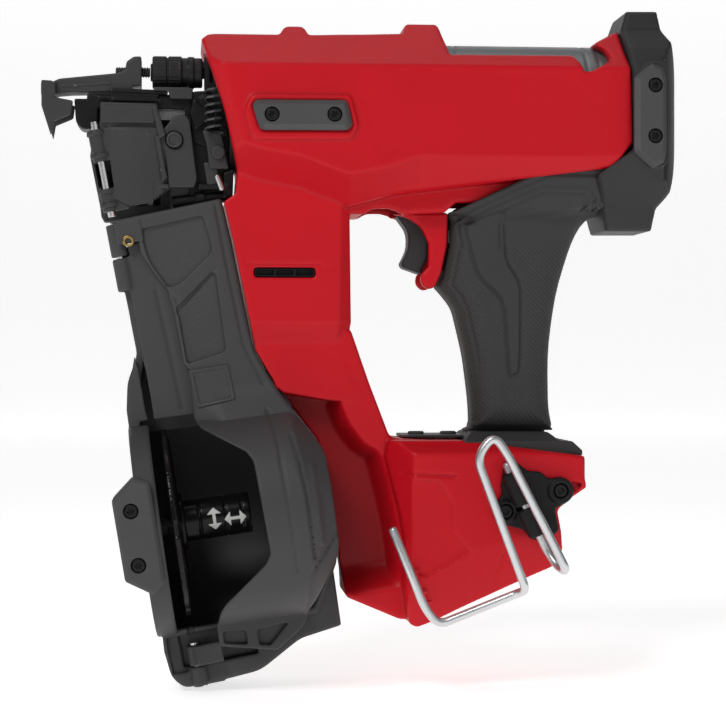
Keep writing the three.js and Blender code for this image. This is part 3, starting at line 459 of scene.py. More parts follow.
CAST_DARK = finish("blackened_steel", (0.012, 0.012, 0.013), 0.42, metal=0.3, grain=(1500, 0.00006),
                   mottle=0.2, wear=0.5, worn=(0.4, 0.4, 0.4), rough_spread=0.2)
KNURLED = finish("knurled_steel", (0.022, 0.022, 0.023), 0.45, metal=0.3, grain=(1500, 0.00004), mottle=0.1,
                 wear=0.5, worn=(0.35, 0.35, 0.35))
SCREW = finish("screw_steel", (0.018, 0.018, 0.019), 0.38, metal=0.5, grain=(2500, 0.00003), mottle=0.2,
               wear=0.6, worn=(0.4, 0.4, 0.4))
STEEL = finish("bright_steel", (0.62, 0.62, 0.61), 0.3, metal=1.0, grain=(900, 0.00002), mottle=0.12,
               wear=0.4, worn=(0.9, 0.9, 0.9), rough_spread=0.2)
ZINC = finish("zinc_wire", (0.66, 0.68, 0.69), 0.34, metal=0.85, grain=(700, 0.00003), mottle=0.12, wear=0.4,
              worn=(0.9, 0.9, 0.9), rough_spread=0.2)
GREY_METAL = finish("satin_grey", (0.19, 0.20, 0.21), 0.38, metal=0.45, grain=(1400, 0.00002), mottle=0.06,
                    wear=0.3, worn=(0.6, 0.6, 0.6))
ALUMINIUM = finish("turned_aluminium", (0.55, 0.56, 0.57), 0.35, metal=1.0, grain=(1200, 0.00002),
                   mottle=0.08, wear=0.3, worn=(0.85, 0.85, 0.85))
BRASS = finish("brass_rim", (0.45, 0.30, 0.10), 0.35, metal=1.0, grain=(1200, 0.00002), mottle=0.15, wear=0.3,
               worn=(0.8, 0.6, 0.3))
COPPER = finish("copper_winding", (0.50, 0.22, 0.10), 0.4, metal=0.9, grain=(800, 0.00006), mottle=0.15)
BOARD = finish("board_green", (0.012, 0.10, 0.035), 0.5, grain=(600, 0.00005), mottle=0.15)
WHITE = finish("printed_white", (0.72, 0.72, 0.70), 0.5, grain=(2000, 0.00001), mottle=0.04, wear=0.0)
GLOSSY = finish("glossy_black", (0.006, 0.006, 0.007), 0.24, grain=(1500, 0.00002), mottle=0.15, wear=0.1,
                worn=(0.1, 0.1, 0.1))
DARK_RUBBER = finish("seal_rubber", (0.02, 0.02, 0.02), 0.7, grain=(1500, 0.00005), mottle=0.1)


# ---------------------------------------------------------------- red housing
BARREL = [(-144.2, 106), (-155.2, 141), (-152, 144.5, 3), (-117, 144.5, 1), (-114, 149.6, 2),
          (-104.8, 149.6, 2), (-102.5, 144.5, 1), (-56, 146, 1), (-54, 152, 2), (-38, 152, 2), (-35.2, 138),
          (-34.4, 133.8, 1), (26.5, 134.2, 2), (28.8, 130, 1), (30, 125.3, 1), (33.8, 125.2, 1),
          (45, 131.7, 2), (43, 137.7, 2), (38, 141.2, 2), (49.6, 147.9, 1), (52.2, 149), (52.4, 137),
          (53.4, 119.3), (54, 91), (45, 79), (-60, 66), (-84, 59.6), (-136.8, 73.9)]
KEEL = [(-84, 84), (-84, 56.5, 1), (-75.4, 56.6, 2), (-71.5, 59.3, 2), (-63, 59.5, 3), (-56, 56.6),
        (-36, 57.4), (-30, 62.5), (52.2, 62.5), (52.2, 84)]
COLUMN = [(-137, 84), (-138.5, 66), (-144.2, 62), (-139.5, 42.7), (-128.6, -10.2), (-121, -23.2),
          (-115.8, -31), (-92, -35), (-71, -35.2), (-84.2, -9), (-81.8, 3.3), (-82.6, 56.3), (-84, 80)]
COLUMN_FACE = [(-151, 80), (-149, 60), (-130, -31), (-92, -40), (-71.4, -46.7), (-80, -25.9), (-89, -6.4),
               (-88.4, 4.4), (-87.4, 61.2), (-88, 80)]
WEB = [(-124.5, 0), (-121, -18), (-118.5, -32.6), (-113.4, -34.2), (-97.6, -54.6), (-93.2, -70),
       (-84.2, -131.4), (-58, -142.5), (-43.8, -142.6), (-44, -54.5), (-62.6, -53.2, 3), (-73, -26), (-82, 0)]
SCOOP = [(-120, -29), (-103, -26, 6), (-94.1, -23.8, 4), (-89.1, -27.8, 3), (-81.5, -45.7), (-74.4, -55.1, 3),
         (-68.5, -57.4, 3), (-65.8, -61.8, 3), (-60, -84.2, 8), (-56.8, -100.4, 8), (-53.7, -130),
         (-84.2, -136), (-125, -140)]
FOOT = [(-63.9, -54.3, 1), (-27.3, -54.3), (31.2, -61.8, 1), (31.2, -72.9, 1), (32.1, -77, 1),
        (24.8, -81.9, 2), (17.5, -88.1, 2), (19.3, -97.1, 2), (20.9, -108.4, 3), (16.6, -116, 2),
        (4.3, -121.3), (-43.1, -142.8), (-50.3, -145.4, 2), (-54.4, -143.5, 2), (-56.5, -128, 2),
        (-56.8, -100.4), (-59, -88), (-65.5, -62)]
GUARD = [(-33.2, 56), (-33.6, 42.1), (-36.5, 28.1), (-39.8, 20.7, 2), (-43.5, 19.9, 2), (-46.8, 23.2, 2),
         (-46.4, 27.3), (-42.7, 31.4), (-42.7, 42.9), (-46.4, 51, 3), (-53.8, 55.9, 3), (-64, 57.5),
         (-64, 62), (-33, 62)]
BARREL_EDGE_LOW = ([-155, -140, -127, -107, -89, -84, -35, 60], [80, 77, 72.5, 69, 62, 60.5, 58.7, 58.7])
PAD_SEAT = [(-131.1, 112.3, 2), (-83.8, 112.1, 2), (-80, 97, 2), (-83.8, 91.1, 2), (-130.4, 90.7, 3),
            (-134.9, 104.7, 3)]
BODY_PAD = [(-131.2, 107.1, 2), (-129.3, 109.4, 2), (-85.7, 109.6, 2), (-82.9, 98.1, 1), (-84.8, 95.2, 2),
            (-127.4, 95, 2)]
LABEL_RECESS = [(-47.4, 131), (-60.6, 125), (-69, 118.9, 3), (-78.4, 111.5, 3), (-76, 103.2), (-72.1, 91),
                (-70.4, 84.5, 2), (38, 84.5, 2), (40.5, 88), (40.5, 110), (30, 117.5, 3), (22, 124),
                (-36, 125)]


def barrel_field(x, y, z):
    """The barrel: a wide middle band with sloping shoulders and underside."""
    across = np.abs(y)
    bottom = np.interp(x, *BARREL_EDGE_LOW)
    under = np.interp(x, [-84, -50], [1.1, 0.63])
    crown = 28 + np.maximum(138 - z, -40) * 1.27
    low_half = COLUMN_HALF + (z - bottom) * under
    half = bevelled(across - crown, across - np.minimum(low_half, BARREL_HALF), 0.8)
    half = half * 0.72
    body = bevelled(flat(x, z, BARREL), both(half, across - BARREL_HALF, 1.2), 0.9)
    front = (-(x + 144.5) + (z - 106) * -0.27) + (across - BARREL_HALF) + 5
    body = both(body, front * 0.7, 0.8)
    seat = flat(x, z, PAD_SEAT)
    body = either(body, both(seat, slab(across, 30, 43.1), 0.7), 0.8)
    body = without(body, both(flat(x, z, BODY_PAD) - 0.25, 42.2 - across, 0.3), 0.25)
    label = both(flat(x, z, LABEL_RECESS), 41.45 - across, 0.4)
    return without(body, label, 0.3)


def column_field(x, y, z):
    across = np.abs(y)
    half = np.interp(z, [-6.6, 3.5], [21.5, COLUMN_HALF])
    upper = bevelled(flat(x, z, COLUMN, 1.0), across - half, 0)
    slope = flat(x, z, COLUMN_FACE, 1.0)
    upper = both(upper, (across - half + slope * 0.85) * 0.76, 0.8)
    slot = both(slab(z, 25.2, 30.1), slab(x, -129.7, -99.6), 1.5)
    upper = without(upper, both(slot, 20.5 - across, 0.3), 0.3)
    return grooved(upper, line(x, z, [(-132.1, 31.8), (-97.1, 31.6)]), 1.2, 0.5, ramp(across, 22, 24))


def scoop_depth(x, z):
    """0 outside the scoop and 1 on its floor: steep at the top, sloping at the right and the bottom."""
    inwards = -flat(x, z, SCOOP)
    return ramp(inwards, 0.0, 9.0 - 6.0 * ramp(z, -40, -30)) * ramp(z + 134 - (x + 84) * 0.12, 2, 17)


def web_field(x, y, z):
    """The lower arm that runs down past the canister, with a deep scoop on each side."""
    across = np.abs(y)
    arm = both(flat(x, z, WEB, 1.5), across - 21.5, 2.2)
    floor = 21.5 - (21.5 - SCOOP_HALF) * scoop_depth(x, z)
    return both(arm, (across - floor) * 0.75, 0.5)


def foot_field(x, y, z):
    across = np.abs(y)
    side_face = FOOT_HALF - ramp(-54.3 - z, 7.1, 0.0) * 7.8
    foot = both(flat(x, z, FOOT), (across - side_face) * 0.75, 1.2)
    lower = (across - FOOT_HALF) + (-107.6 - z + np.where(x > -25, (x + 25) * 0.24, (x + 25) * 0.62)) * 0.35
    foot = both(foot, lower * 0.9, 0.6)
    front = (across - FOOT_HALF) + (-x - 52.5) * 1.1
    foot = both(foot, front * 0.67, 0.8)
    recess = flat(x, z, [(-57, -92), (-61.5, -72.5), (-40.4, -73.5), (-34.1, -82.5, 4), (-34.1, -96.8, 4),
                         (-25.1, -107.6), (-45.8, -119.9), (-54.5, -118, 2)])
    foot = without(foot, both(recess, 37.1 - across, 0.4), 0.4)
    on_side = ramp(across, 30, 33)
    foot = grooved(foot, line(x, z, [(-63.8, -69.8), (-50, -70.4), (-32.3, -71.3)]), 1.4, 0.9, on_side)
    foot = grooved(foot, line(x, z, [(-7.9, -107.7), (-14.7, -125.6)]), 1.4, 0.7, on_side)
    notch = flat(x, z, [(23.9, -73.8, 1), (30.3, -75.6, 1), (25.7, -79.7, 1)])
    foot = without(foot, both(notch, 35 - across, 0.4), 0.3)
    for px, pz in ((-51.7, -117.2), (-49.9, -122.2), (-47.5, -127.2), (-45.4, -132.2)):
        foot = union(foot, np.sqrt((x - px) ** 2 + (z - pz) ** 2 + (across - 37.3) ** 2 * 1.2) - 1.4)
    return foot


def housing_hollow(x, y, z):
    """The room inside for the drive, the board and the grip's top."""
    radius = around(y, z, DRIVE_Z)
    bores = union(
        both(radius - 30, slab(x, -170, 36), 0.3),
        both(radius - 32, slab(x, -100, 41), 0.3),
        both(radius - (RESERVOIR_R + 0.3), slab(x, -52, 60), 0.3),
    )
    shaft = both(flat(x, z, [(-134, 84), (-137, 60), (-122, 3), (-108, -14), (-93, -14), (-87.2, 0),
                             (-86, 84)]) + 3,
                 np.abs(y) - 18, 1)
    tray = both(flat(x, z, FOOT) + 5, both(-45 - x, np.abs(y) - 26, 1), 1)
    grip_seat = box(x, y, z, (-80, -18.5, 58.0), (56, 18.5, 84), 1)
    finger = box(x, y, z, (-62, -8.6, 50), (-32.5, 8.6, 70), 0.5)
    return union(bores, shaft, tray, grip_seat, finger)


def housing_field(x, y, z):
    shell = either(barrel_field(x, y, z), both(flat(x, z, KEEL), np.abs(y) - 22, 1.2), 0.8)
    shell = either(shell, column_field(x, y, z), 0.6)
    shell = either(shell, web_field(x, y, z), 0.6)
    shell = either(shell, foot_field(x, y, z), 0.8)
    shell = union(shell, side(x, np.abs(y), z, GUARD, 8.6, 14, 1.2))
    shell = without(shell, housing_hollow(x, y, z))
    top = both(flat(x, z, [(-27.3, -50), (-27.3, -55.4), (15.6, -55.4), (32, -60), (32, -50)]),
               np.abs(y) - 30.4, 0.3)
    shell = without(shell, top, 0.3)
    return both(shell, y + SPLIT, 0.25)


# Painted shade: 0.9 on the floor and walls of the arm's scoop, so the red there is darkened as if in shadow.
def painted_recess_shade(x, y, z):
    return scoop_depth(x, z) * (np.abs(y) < 21.2) * 0.9


sculpt("housing_left", housing_field, (-157, -43.5, -147), (56, 0, 154), 1.2, RED, "housing",
       mirror="housing_right", mask={"painted_shade": painted_recess_shade})


def slot_shadow_plate_field(x, y, z):
    """A near-black plate with three shallow cells at the bottom of the cooling slot: a dark sheet put in as
    painted shade, so the slot reads dark.
    """
    plate = box(x, y, z, (-129.4, -24.4, 25.5), (-99.9, -20.8, 29.8), 0.4)
    cells = union(*[box(x, y, z, (a, -26, 26.4), (a + 8.4, -21.6, 28.9), 0.3)
                    for a in (-128.4, -118.8, -109.2)])
    return without(plate, cells, 0.2)


sculpt("slot_shadow_plate", slot_shadow_plate_field, (-130, -25, 25), (-99, -20, 30.2), 0.4, INNER_PLASTIC, "housing",
       replaces=[])


# ---------------------------------------------------------------- grip
GRIP = [(-33, 57), (-33, 42), (-35.6, 28), (-38.6, 21.5, 2), (-35.9, 19, 3), (-29.5, 11, 4), (-24, -12, 6),
        (-20.9, -36, 8), (-20.6, -47, 2), (-24.6, -50.2), (21, -50.2), (18.6, -40, 6), (18.2, -10, 12),
        (22.5, 20, 12), (31, 46, 8), (38, 56.6, 8), (52.5, 59.5), (54.6, 86), (39.3, 79.3, 5),
        (14.1, 79.3, 5)]
GRIP_TOP = [(-32.8, 57.4), (14.1, 79.6, 6), (39.3, 79.2, 4), (55.2, 88.2), (54, 60.5), (30, 59.6), (-10, 52)]
GRIP_PANEL = [(-25.8, 52.1, 3), (-18.8, 27.2, 5), (-5.6, 14.5, 6), (-4.3, -4.7), (-3.1, -21.1, 1),
              (-1.9, -23.4, 1), (2.3, -21.1, 2), (3.1, 11.7, 5), (2.7, 24, 5), (-4.3, 33.8, 4), (-6, 58.4, 3)]
GRIP_BANDS = (
    ((-35.4, 40.9), (-33.3, 52.3), (15, 76.1), (38.4, 75.8), (44, 60.3)),
    ((-26.5, 40.9), (-28.2, 51.5), (9.9, 69.7), (34.6, 69.9), (39.7, 60.3)),
    ((-7.5, 41.2), (-7.5, 57.7), (11.2, 66.6), (32.2, 66.8), (33.9, 60.5)),
)


def grip_field(x, y, z):
    across = np.abs(y)
    outline = flat(x, z, GRIP)
    handle = both(outline, across - GRIP_HALF, 14.0)
    wing = both(flat(x, z, GRIP_TOP), across - np.interp(z, [52, 60, 74, 90], [18, 24.5, 33, 36]), 2.5)
    grip = either(handle, wing, 3.5)
    base = both(slab(z, -62, -50.4), across - np.interp(z, [-60, -54.8, -50.4], [30, 29.6, 20]), 1.2)
    base = both(base, flat(x, z, [(-27.0, -54.6), (-22.4, -50.3), (15.6, -50.3), (20.6, -54.8), (26.4, -54.8),
                                  (31.4, -59.4), (31.4, -62), (-27.0, -62)]), 0.6)
    grip = either(grip, base, 1.5)
    panel = flat(x, z, GRIP_PANEL)
    grip = union(grip, both(both(panel + 0.6, 8 - across, 0.5), handle - 0.4, 0.4))
    grip = grooved(grip, panel, 1.5, 0.9, ramp(across, 6, 9))
    for band in GRIP_BANDS:
        grip = grooved(grip, line(x, z, band), 1.5, 0.8, ramp(across, 10, 14))
    along = ramp(z, -46, -42) * (1 - ramp(z, 38, 42)) * (1 - ramp(x, -20, -16)) * ramp(across, 6, 9)
    grip = grooved(grip, outline + 5.5, 1.4, 0.7, along)
    grip = grooved(grip, z + 48.4, 1.3, 0.7, ramp(x, -30, -28))
    for rib in (35.6, 38.8, 42):
        grip = grooved(grip, line(x, z, [(rib, 64.6), (rib - 2.4, 59.5)]), 1.3, 0.9, ramp(across, 12, 15))
    hollow = both(flat(x, z, [(-25, 20), (-20, -5), (-15, -47), (13, -47), (11.5, -8), (14, 20), (24, 50),
                              (-24, 52)]),
                  across - 9.5, 2)
    grip = without(grip, hollow)
    guard_room = both(flat(x, z, GUARD) - 0.35, across - 14.4, 0.2)
    switch_room = box(x, across, z, (-50, -1, 30), (-14, 8.7, 60), 0.3)
    grip = without(without(grip, guard_room), switch_room)
    room = both(around(y, z, DRIVE_Z) - RESERVOIR_R - 0.4, slab(x, -60, 60))
    return both(without(grip, room, 0.2), y + SPLIT, 0.25)


def grip_dots(x, y, z):
    """1 on the moulded texture of the handle's flanks and 0 on its smooth panels."""
    panel = flat(x, z, GRIP_PANEL)
    flank = ramp(np.abs(y), 4, 9) * ramp(z, -47, -44) * (1 - ramp(z, 40, 44))
    return flank * ramp(panel, 0.5, 1.5)


sculpt("grip_left", grip_field, (-40, -37, -62.5), (56, 0, 89), 0.8, RUBBER, "housing",
       mirror="grip_right", mask={"dots": grip_dots})


# ---------------------------------------------------------------- rear cap and side pads
CAP = [(52.8, 149.4), (56, 158.7, 1), (71.5, 158.9, 1), (73, 149, 2), (78.4, 136.9, 6), (82.3, 116.7, 8),
       (82.3, 104, 8), (79.4, 78.7, 8), (74.5, 66, 5), (69.5, 60, 2), (68, 49, 1), (50, 48.9, 1),
       (44.9, 48.9, 1), (42.5, 59.8), (37.3, 75.2, 2), (54.4, 87.6, 1), (54.4, 119), (53, 136)]
CAP_PAD_SEAT = [(53.8, 121.9, 1), (61.6, 129.9, 2), (69.2, 130, 2), (71.3, 125.4, 2), (71.3, 82.9, 2),
                (69.2, 79.1, 2), (63.3, 77.8, 2), (54.6, 86.1, 1)]
CAP_PAD = [(53.6, 122.1, 1), (62.3, 128.9, 1), (68.2, 126.8, 1), (69.5, 121, 1), (69.5, 85, 1),
           (68.2, 80.6, 1), (62.5, 77.8, 1), (53.6, 85.7, 1)]


def cap_field(x, y, z):
    across = np.abs(y)
    width = np.interp(z, [48, 60, 72, 84, 124, 138, 149, 160], [20, 24, 36, CAP_HALF, CAP_HALF, 34, 20, 17])
    end = bevelled(flat(x, z, CAP), (across - width) * 0.8, 1.4)
    round_back = np.sqrt((np.maximum(x - 45, 0) / 37.3) ** 2 + (across / 52) ** 2) - 1
    end = both(end, round_back * 34, 0.8)
    seat = both(flat(x, z, CAP_PAD_SEAT), slab(across, 36, 45.8), 0.8)
    end = either(end, seat, 0.6)
    end = without(end, both(flat(x, z, CAP_PAD) - 0.25, 45.1 - across, 0.3), 0.25)
    end = grooved(end, line(x, z, [(70.3, 131), (73.8, 109), (70.5, 74)]), 1.6, 0.8, ramp(across, 30, 36))
    vents = union(*[box(x, across, z, (77.5, -1, h), (90, 13, h + 2.4), 0.8)
                    for h in np.arange(92, 122, 5.6)])
    end = without(end, vents, 0.3)
    lug = box(x, y, z, (60, -8, 151.5), (70, 8, 162), 1.0)
    end = without(end, lug, 0.5)
    radius = around(y, z, DRIVE_Z)
    return without(end, both(radius - 36.2, x - 66, 0.3), 0.2)


sculpt("rear_cap", cap_field, (37, -46.5, 48), (86, 46.5, 160), 0.8, CAP_PLASTIC, "housing")


def star_recess(dx, dy, dz):
    """A six-lobed driver socket, from the middle of a screw's face."""
    radius = np.sqrt(dx * dx + dz * dz)
    angle = np.arctan2(dz, dx)
    return both(radius - 1.55 - 0.28 * np.cos(6 * angle), slab(dy, -1, 1.6), 0.1)


def hexagon_recess(dx, dy, dz):
    """A hexagon socket, from the middle of a screw's face."""
    hexagon = np.maximum(np.abs(dx), np.abs(dx) * 0.5 + np.abs(dz) * 0.866) - 1.5
    return both(hexagon, dy - 1.3, 0.1)


def screw(name, centre, face, length, before, beyond, recess=star_recess, edge=0.55, blend=0.1,
          frame_of=None):
    """A screw head facing -Y. Its grid starts before its face and ends beyond it by those distances."""
    cx, cz = centre

    def field(x, y, z):
        head = rod(x, y, z, (cx, face, cz), (cx, face + length, cz), SCREW_R, edge)
        return without(head, recess(x - cx, y - face, z - cz), blend)

    sculpt(name, field, (cx - SCREW_ROOM, face - before, cz - SCREW_ROOM),
           (cx + SCREW_ROOM, face + beyond, cz + SCREW_ROOM), SCREW_STEP, SCREW, "housing",
           frame_of=frame_of)


def countersunk(pad, x, y, z, face, screws):
    """A pad with a hole round each of its screws."""
    for sx, sz in screws:
        pad = without(pad, rod(x, y, z, (sx, face - 2, sz), (sx, face + 3.6, sz), COUNTERBORE_R, 0.3), 0.3)
    return pad


def side_pad(outline, low, high, screws):
    def field(x, y, z):
        shape = flat(x, z, outline)
        pad = both(bevelled(shape, -(y - low), 2.2), y - high, 0.5)
        return countersunk(pad, x, y, z, low, screws)
    return field


BODY_SCREWS = ((-121.7, 102.4), (-91.7, 102.6))
CAP_SCREWS = ((63.7, 118.1), (63.7, 93.5))
BODY_PAD_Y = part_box("body_pad_left")[0][1] / MM
CAP_PAD_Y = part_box("cap_pad_left")[0][1] / MM
sculpt("body_pad_left", side_pad(BODY_PAD, BODY_PAD_Y, -42.3, BODY_SCREWS), (-132, BODY_PAD_Y, 94),
       (-82, -42, 110.5), 0.42, PAD, "housing", mirror="body_pad_right")
sculpt("cap_pad_left", side_pad(CAP_PAD, CAP_PAD_Y, -45.2, CAP_SCREWS), (53, CAP_PAD_Y, 77), (70.5, -45, 130),
       0.42, PAD, "housing", mirror="cap_pad_right")
for end, centre in zip(("front", "rear"), BODY_SCREWS):
    screw("body_pad_screw_" + end, centre, BODY_PAD_Y + 0.4, 3.2, 0.5, 3.7)
for end, centre in zip(("upper", "lower"), CAP_SCREWS):
    screw("cap_pad_screw_" + end, centre, CAP_PAD_Y + 0.4, 3.2, 0.5, 3.7)


# ---------------------------------------------------------------- canister, cover and what is on them
# In these fields u, y, w are X, Y, Z of the canister's own tilted frame.
IN_CANISTER = (CANISTER, CANISTER_TILT)
BODY_SIDE = [(-38.6, 143.6), (-37.7, 137.5), (-35.9, 108.2), (-34.8, 86, 3), (-41.3, 73.3, 3), (-43.6, 60),
             (-43.6, 30), (40, 30), (36.5, 52), (21.4, 79), (12.2, 143)]
BODY_ROOM = [(-30, 150), (-29, 91), (-37.5, 66), (-38.5, 40), (36, 40), (35.5, 51.5), (20, 78), (10.8, 150)]
BODY_FACE = [(-36, 140), (-35.4, 88), (-41, 70), (-41, 53.6), (-8, 53.6), (-10, 112), (-20, 132), (-24, 141)]
SHELF = [(-41.1, -30), (-42, -60), (-40.1, -73, 3), (-34.5, -79, 3), (-21, -78.5), (3.6, -76, 4),
         (25, -63.5, 3), (46, -60), (46, -30)]
COVER = [(-40.4, 152.3), (-26.5, 146.5), (-26.1, 134.6), (-22.9, 128.2), (-15.6, 113.8, 3), (-14.2, 105.9),
         (-13, 78.7), (-10.5, 74.9), (-11.8, 51.4, 2), (-9, 46.8), (10.4, 33.4), (13.2, 28.7, 2), (15, -15.1),
         (12.7, -19.7, 2), (-9.5, -38, 3), (-12, -42), (-14.6, -50), (-14.6, -60), (13, -66),
         (27.9, -55.8, 4), (31.5, -46.3), (47.5, -22, 4), (50, -10.9), (48.5, 24.8), (47.3, 29.9, 3),
         (31.9, 57.5, 3), (27.7, 66.2, 3), (22, 80.5, 3), (18.6, 134.4), (16.5, 156.3, 2)]
UPPER_PANEL = [(-25.2, 146.4, 2), (6.4, 149.2, 2), (9.0, 131.5, 3), (-9.6, 117.6, 2), (-15.2, 116.4, 2),
               (-22.4, 130, 3)]
LOWER_PANEL = [(-12.2, 106.5, 2), (8.6, 121.5, 3), (8.4, 82, 2), (-11.3, 78.4, 2)]
EMBLEM = [(-10.9, 75.3, 1), (8.5, 75.5, 1), (9.7, 58.2, 1), (-9.4, 56.4, 1)]


def from_canister(u, y, w):
    c, s = math.cos(CANISTER_TILT), math.sin(CANISTER_TILT)
    return CANISTER[0] + u * c - w * s, CANISTER[1] + y, CANISTER[2] + u * s + w * c


def body_field(u, y, w):
    radius = around(y, w, 0)
    drum = both(radius - CANISTER_R, slab(u, -44, 48.5), 1.4)
    rear = both(both(drum, (radius - 57.5 + (u - 31.9) * 1.79) * 0.49, 1.5), -4 - y, 0.6)
    left = both(both(radius - CANISTER_R, slab(u, -44, -34), 1.2), -(y + 52), 0.3)
    channel = both(flat(u, w, BODY_SIDE, 1.0), slab(y, -4, 18.5), 0.9)
    shelf = both(flat(u, w, SHELF), slab(y, -2, 40), 1.5)
    whole = union(rear, left, channel, shelf)
    ribs = union(*[both(both(radius - CANISTER_R - 0.7, slab(u, a, a + 2.4), 0.5), 24 - y, 0.4)
                   for a in (-26, -6, 14)])
    whole = union(whole, ribs)
    room = both(radius - (CANISTER_R - CANISTER_WALL), slab(u, -41.5, 46), 1.0)
    room = both(room, (radius - 52.2 + (u - 31.9) * 1.79) * 0.49, 1.0)
    feed = both(flat(u, w, BODY_ROOM), slab(y, -5, 15), 0.6)
    whole = without(without(whole, room), feed)
    slot = both(flat(u, w, [(-36.6, -53.2, 1), (-33, -53.2, 1), (-31.6, -70.5, 1), (-35.4, -70.5, 1)]),
                1.5 + y, 0.2)
    hole = np.sqrt((u + 32.1) ** 2 + (w - 141.5) ** 2) - 2.2
    whole = without(without(whole, both(slot, -4 - y, 0.2), 0.3), hole, 0.3)
    shaft = both(around(y, w, POST_W) - 5, slab(u, -43, -14), 0.5)
    face = both(flat(u, w, BODY_FACE), slab(y, -4, -1.4), 0.4)
    face = grooved(face, line(u, w, [(-21.3, 116), (-18.6, 86), (-16.6, 57)]), 2.0, 0.8)
    face = grooved(face, line(u, w, [(-33.4, 108), (-33.2, 90.8), (-31.6, 57.6)]), 1.8, 0.7)
    whole = union(whole, shaft, face)
    x, wy, z = from_canister(u, y, w)
    a, b, c, ring = in_hinge(x, wy, z)
    for low, high in ((-24, -8), (-221, -211)):
        lug = union(both(ring - HINGE_R, slab(c, low, high), 0.6),
                    box(a, b, c, (-3, 0.5, low), (12, 8, high), 0.6))
        whole = union(whole, lug)
    turning = union(both(ring - 4.9, slab(c, -7.6, 20)), both(ring - 4.9, slab(c, -210.8, -195)),
                    box(a, b, c, (-7, -30, -210.8), (30, 4.6, -195), 0.3),
                    box(a, b, c, (-13, -30, -213), (-5, 2.4, -195), 0.3), ring - (PIN_R + 0.3))
    return without(whole, turning)


def dotted(panels):
    def rule(u, y, w):
        return np.clip(sum((flat(u, w, panel) < -1.2).astype(float) for panel in panels) * (y < -4.0), 0, 1)
    return rule


def cover_height(u, w):
    """How far the upper cover stands in front of the canister's centre plane: it swells towards the drum."""
    return 8 + 3.2 * ramp(w, 78, 44) + 9 * ramp(w, 66, 40) * ramp(u, -12, 4)


def cover_field(u, y, w):
    radius = around(y, w, 0)
    outline = flat(u, w, COVER)
    back = y + 4.3
    drum = both(radius - CANISTER_R, slab(u, -20, 48.4), 4.0)
    taper = np.maximum(u - 34.0, 0) * 0.8
    front = both(both(drum, (radius + taper - CANISTER_R) * 0.9, 1.0), outline, 1.0)
    front = both(front, back, 0.4)
    plate = both(both(both(outline, -(w - 34), 0.5), back, 0.3), -(y + cover_height(u, w)) * 0.85, 1.6)
    for panel in (UPPER_PANEL, LOWER_PANEL):
        plate = without(plate, both(flat(u, w, panel), y + 6.2, 0.5), 0.5)
    plate = grooved(plate, line(u, w, [(-25, 127), (-12, 110.2), (-12.5, 104), (9.2, 123)]), 2.0, 0.6)
    plate = grooved(plate, line(u, w, [(13.2, 153), (14.4, 128), (17.3, 84), (24, 64)]), 1.6, 0.6)
    lower = both(both(outline, w + 44, 0.5), both(back, -(y + 11), 1.2), 0.4)
    for panel in ([(-12.2, -53.2, 1), (-1, -54, 1), (-1, -61, 1), (-12.2, -59, 1)],
                  [(4.6, -54.6, 1), (20, -53.4, 1), (10, -63, 1), (4.6, -62, 1)]):
        lower = without(lower, both(flat(u, w, panel), y + 8.4, 0.4), 0.4)
    whole = union(front, plate, lower)
    on_drum = ramp(radius + taper, 50.2, 51.2)
    whole = grooved(whole, line(u, w, [(33.1, 37.7), (36.0, 9), (35.6, -20.2)]), 2.0, 1.2, on_drum)
    whole = grooved(whole, line(u, w, [(48.7, -10.4), (33.1, -28), (29.3, -47.9)]), 1.8, 1.0, on_drum)
    whole = grooved(whole, line(u, w, [(24, 50.6), (25.9, 36.9), (26.7, -25.6)]), 1.6, 0.8, on_drum)
    window = both(flat(u, w, [(31.4, -46.4, 1), (49, -52, 1), (49, -57, 1), (33, -57, 1)]), y + 6, 0.3)
    whole = without(whole, window, 0.3)
    whole = grooved(whole, line(u, w, [(40.6, 23.2), (40.0, -13.7)]), 3.0, -0.9, on_drum)    # a raised bar
    whole = both(whole, slab(u, -60, 48.6), 0.3)
    inner = CANISTER_R - CANISTER_WALL
    whole = without(whole, both(radius + taper - inner, u - 46, 0.8))
    feed = both(flat(u, w, [(-22, 137), (-22, 58), (34, 54), (20, 79), (11, 147), (-18, 147)]), -4.6 - y, 0.5)
    whole = without(whole, feed)
    x, wy, z = from_canister(u, y, w)
    a, b, c, ring = in_hinge(x, wy, z)
    for low, high, arm_low, arm_back in ((-7, 9, -1.5, -2), (-210.5, -200.5, -210.5, -2.6)):
        arm = box(a, b, c, (0, -6.6, arm_low), (13, arm_back, high), 0.6)
        whole = union(whole, both(ring - HINGE_R, slab(c, low, high), 0.6), arm)
    room = union(ring - (PIN_R + 0.3), box(a, b, c, (-20, -30, -300), (-HINGE_R - 0.2, 30, 100), 0.1))
    return without(whole, room)


sculpt("magazine_body", body_field, (-46, -53, -81), (50, 54, 145), 1.1, PLASTIC, "housing",
       frame_of=IN_CANISTER)
sculpt("magazine_cover", cover_field, (-44, -53, -69), (51, 0, 158), 0.8, PLASTIC, "magazine_cover",
       frame_of=IN_CANISTER, mask={"dots": dotted((UPPER_PANEL, LOWER_PANEL))})


def rim_field(x, y, z):
    ring = np.sqrt((x + 190.6) ** 2 + (z - 42.8) ** 2)
    return both(np.abs(ring - 2.1) - 0.6, slab(y, -21.6, -20.0), 0.25)


sculpt("cover_rivet", rim_field, (-194, -22, 39.5), (-187, -19.5, 46), 0.26, BRASS, "magazine_cover",
       replaces=[])


def emblem_plain(u, y, w):
    """A plain raised plate with a sunk field, standing on the sloping cover."""
    shape = flat(u, w, EMBLEM)
    front = -cover_height(u, w) - 0.9
    plate = both(shape, both(front - y, y + 7.8, 0.3), 0.4)
    return without(plate, both(shape + 1.7, y - front - 0.5, 0.2), 0.25)


